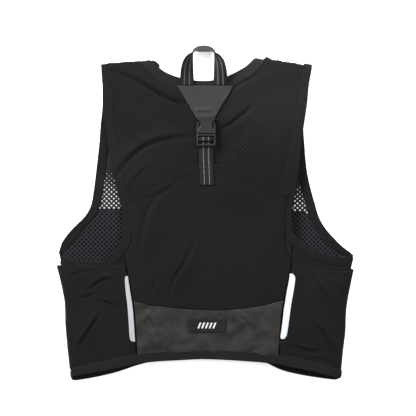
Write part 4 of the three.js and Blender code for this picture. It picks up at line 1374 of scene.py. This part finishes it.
def buildBar(tree, corners):
    columns, rows = 3, 7
    points = []
    for level in (patchBars["wall"], patchBars["sunk"]):
        for t in np.linspace(0, 1, rows):
            for s in np.linspace(0, 1, columns):
                near = corners[0] * (1 - s) + corners[1] * s
                far = corners[3] * (1 - s) + corners[2] * s
                x, y = (near * (1 - t) + far * t) * mm
                points.append((x, y, dropOn(tree, x, y).z + level * mm))
    return makeMesh("bar", points, sheetFaces(columns, rows))


def buildPatch():
    plate = softCopy("label_patch", "patch", rim=0.8)
    liftPoints(plate, crinkleRelief)
    addPiece("patch", plate, [patchCloth], ["label_patch"])
    tree = treeOf([plate])
    low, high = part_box("label_patch")
    middle = np.array([(low[0] + high[0]) / 2, (low[1] + high[1]) / 2]) / mm
    w, h, slant = [patchBars[size] / 2 for size in ("width", "height", "slant")]
    bars = []
    for k in range(patchBars["count"]):
        x = (k - (patchBars["count"] - 1) / 2) * patchBars["pitch"]
        corners = [(x - w - slant, -h), (x + w - slant, -h), (x + w + slant, h), (x - w + slant, h)]
        bars.append(buildBar(tree, np.array(corners) + middle))
    addPiece("patchBars", joinMeshes("patchBars", bars), [film])


buildPatch()


# Stitches: small tapered threads laid on the finished surfaces


stitch = {"width": 0.55 * mm, "rise": 0.3 * mm, "steepest": 2 * mm}


def stitchRow(tree, route, pitch=3.0, length=2.1):
    line = curveThrough(route, 60)
    steps = np.concatenate([[0], np.cumsum(np.hypot(*np.diff(line, axis=0).T))])
    places = np.arange(pitch * mm * 0.6, steps[-1], pitch * mm)
    threads = []
    for place in places:
        ends = []
        for reach in (-length / 2, 0, length / 2):
            x, y = [np.interp(place + reach * mm, steps, line[:, k]) for k in (0, 1)]
            hit = dropOn(tree, x, y)
            if hit is not None:
                ends.append(np.array(hit))
        if len(ends) < 3 or np.ptp([end[2] for end in ends]) > stitch["steepest"]:
            continue
        run = unit(ends[2] - ends[0])
        across = unit(np.array([-run[1], run[0], 0])) * stitch["width"] / 2
        lift = np.array([0, 0, stitch["rise"]])
        middle = ends[1] + lift * 0.3
        points = [ends[0], ends[2], middle - across, middle + across, middle + lift, middle - lift]
        faces = [(0, 2, 4), (2, 1, 4), (1, 3, 4), (3, 0, 4), (2, 0, 5), (1, 2, 5), (3, 1, 5), (0, 3, 5)]
        threads.append((points, faces))
    return threads


# Routes at a distance from an edge line, on its left hand where the distance is positive
def besideRoute(route, distance):
    route = np.array(route, float)
    runs = np.gradient(route, axis=0)
    runs /= np.maximum(np.hypot(runs[:, 0], runs[:, 1]), 1e-9)[:, None]
    return route + np.column_stack([-runs[:, 1], runs[:, 0]]) * distance


def addStitches(name, slot, under, routes, **settings):
    tree = treeOf([pieces[other].data for other in under])
    points, faces = [], []
    for route in routes:
        for spots, shape in stitchRow(tree, route, **settings):
            faces += [[len(points) + i for i in f] for f in shape]
            points += spots
    addPiece(name, makeMesh(name, points, faces), [thread])


neckEdge = [
    (-76.8, 212.9), (-58.5, 197.7), (-39, 189.3), (-18, 184.8), (1, 183.5),
    (18.4, 185.7), (38, 192.8), (60.5, 206.2), (73, 215.5),
]
hemEdge = [
    (-187.5, -229), (-145.5, -221), (-93.7, -210.3), (-31.9, -205.4), (1, -204.1),
    (60.5, -207.2), (105.4, -211.6), (154.3, -222.3), (190.7, -232.6),
]
leftArmhole = [(-113, -31), (-119, -44), (-130, -61), (-147, -69), (-164, -68), (-183, -66), (-201, -59)]
rightArmhole = [(202, -60), (188, -62.6), (170.5, -58.6), (154, -53), (138.5, -44), (121.6, -29)]
leftMouth = [(-203, -73), (-185, -72.8), (-131, -73.7), (-107, -71.5)]
rightMouth = [(117, -69), (132, -74), (162, -80), (202, -82)]
tabEdge = [
    (-34, 167), (-28, 156), (-20, 145), (-11, 134.5), (1.8, 132.5),
    (14, 134.5), (24, 145), (32, 156), (38, 167),
]

neckRows = [besideRoute(neckEdge, -2.2), besideRoute(neckEdge, -9.6)]
hemRows = [besideRoute(hemEdge, 3), besideRoute(hemEdge, 8)]
addStitches("neckStitches", "binding", ["neckBand", "back"], neckRows)
addStitches("hemStitches", "binding", ["hemBand"], hemRows)
for side, edge, mouth in (("Left", leftArmhole, leftMouth), ("Right", rightArmhole, rightMouth)):
    under = ["armholeBand" + side, "sidePanel" + side, "back"]
    edgeRows = [besideRoute(edge, 1.5), besideRoute(edge, 5.5)]
    addStitches("armholeStitches" + side, "binding", under, edgeRows)
    mouthRows = [besideRoute(mouth, -9), besideRoute(mouth, -11.5)]
    addStitches("mouthStitches" + side, "stretch_cloth", ["sidePocket" + side], mouthRows)
addStitches("neckLine", "binding", ["neckBand"], [besideRoute(neckEdge[5:], -4.5)])
addStitches("tabStitches", "coated_tab", ["tab"], [tabEdge], pitch=2.6, length=1.8)
tailRows = [[(-7.8, y), (2, y + 0.4), (11.6, y)] for y in (33.8, 31.6, 28.4)]
addStitches("tailStitches", "webbing", ["pocket"], tailRows, pitch=1.5, length=1.1)
print("stage: stitches laid")


# Frayed threads at the end of the tail


def buildFray():
    low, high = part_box("closure_strap")
    random = np.random.RandomState(12)
    tree = treeOf([pieces["pocket"].data])
    count = 26
    faces = [(2, 1, 0), (6, 7, 8)]
    for ring in (0, 3):
        for i, n in ((0, 1), (1, 2), (2, 0)):
            faces.append((ring + i, ring + n, ring + n + 3, ring + i + 3))
    threads = []
    for k in range(count):
        x = low[0] + (high[0] - low[0]) * (0.03 + 0.94 * k / (count - 1))
        reach = random.uniform(1.2, 3.6) * mm
        lean = random.uniform(-0.8, 0.8) * mm
        start = np.array([x, low[1] + 1.2 * mm])
        end = np.array([x + lean, low[1] - reach])
        points = []
        for t, width in ((0, 0.32), (0.5, 0.28), (1, 0.12)):
            x, y = start * (1 - t) + end * t
            z = dropOn(tree, x, y).z + (1.1 * (1 - t) + 0.25) * mm
            half = width / 2 * mm
            points += [(x - half, y, z), (x + half, y, z), (x, y, z + half)]
        threads.append(makeMesh("thread", points, faces))
    addPiece("fray", joinMeshes("fray", threads), [webbingBack])


buildFray()


# The cloth lies a little wider than the solids, and its lowest corners are round
rounding = {
    "left": 1.3,
    "right": 2.0,
    "down": 1.3,
    "radius": 6.5,
    "corners": [(-188.2, -234.4), (190.8, -234.4)],
}


def settle(mesh):
    points = readPoints(mesh) / mm
    x, y = points[:, 0], points[:, 1]
    y -= rounding["down"] * easeIn(np.abs(x), 70, 110) * easeIn(-y, 200, 215)
    outward = np.where(x > 0, rounding["right"], -rounding["left"])
    x += outward * easeIn(np.abs(x), 112, 140) * easeIn(-y, -180, -150)
    for cornerX, cornerY in rounding["corners"]:
        side = math.copysign(1, cornerX)
        across = side * (x - cornerX) + rounding["radius"]
        down = cornerY - y + rounding["radius"]
        inside = (across > 0) & (down > 0)
        reach = np.maximum(across, down) / np.maximum(np.hypot(across, down), 1e-9)
        x += np.where(inside, side * across * (reach - 1), 0)
        y -= np.where(inside, down * (reach - 1), 0)
    writePoints(mesh, points * mm)


for piece in pieces.values():
    settle(piece.data)
print("stage: pieces settled")


# Floor, light and camera


paperLook = {**tabLook, "color": (0.95, 0.95, 0.95), "roughness": 0.9, "vary": 0.02}
studio = {"sky": 0.36, "side": 1.5, "level": -0.2 * mm, "glow": 0.5}
lamps = [
    {"at": (-0.8, 0.9, 0.75), "size": 0.5, "power": 40},
    {"at": (0.8, 0.3, 1.2), "size": 1.0, "power": 18},
]
view = {"field": 0.5805, "centre": (0.0045, 0.0059, 0.012), "lens": 85, "sensor": 36}


def buildStage():
    world = bpy.data.worlds.new("studio")
    bpy.context.scene.world = world
    world.use_nodes = True
    sky = world.node_tree.nodes["Background"]
    sky.inputs["Color"].default_value = (1, 1, 1, 1)
    sky.inputs["Strength"].default_value = studio["sky"]
    signs = [(-1, -1), (1, -1), (1, 1), (-1, 1)]
    corners = [(x * studio["side"], y * studio["side"], studio["level"]) for x, y in signs]
    floor = addObject("floor", makeMesh("floor", corners, [(0, 1, 2, 3)]))
    paper = grainMaterial("paper", paperLook)
    glow = paper.node_tree.nodes["Principled BSDF"]
    glow.inputs["Emission Color"].default_value = (1, 1, 1, 1)
    glow.inputs["Emission Strength"].default_value = studio["glow"]
    floor.data.materials.append(paper)
    for number, lamp in enumerate(lamps):
        light = bpy.data.lights.new(f"softbox{number}", "AREA")
        light.size = lamp["size"]
        light.energy = lamp["power"]
        holder = addObject(f"softbox{number}", light)
        holder.location = lamp["at"]
        holder.rotation_euler = (-Vector(lamp["at"])).to_track_quat("-Z", "Y").to_euler()


def buildCamera():
    camera = bpy.data.cameras.new("overhead")
    camera.lens = view["lens"]
    camera.sensor_width = view["sensor"]
    holder = addObject("overhead", camera)
    away = Vector((0, 0, view["lens"] * view["field"] / view["sensor"]))
    holder.location = Vector(view["centre"]) + away
    bpy.context.scene.camera = holder


buildStage()
buildCamera()
bpy.context.scene.view_settings.view_transform = "Standard"
print("stage: floor, light and camera placed")
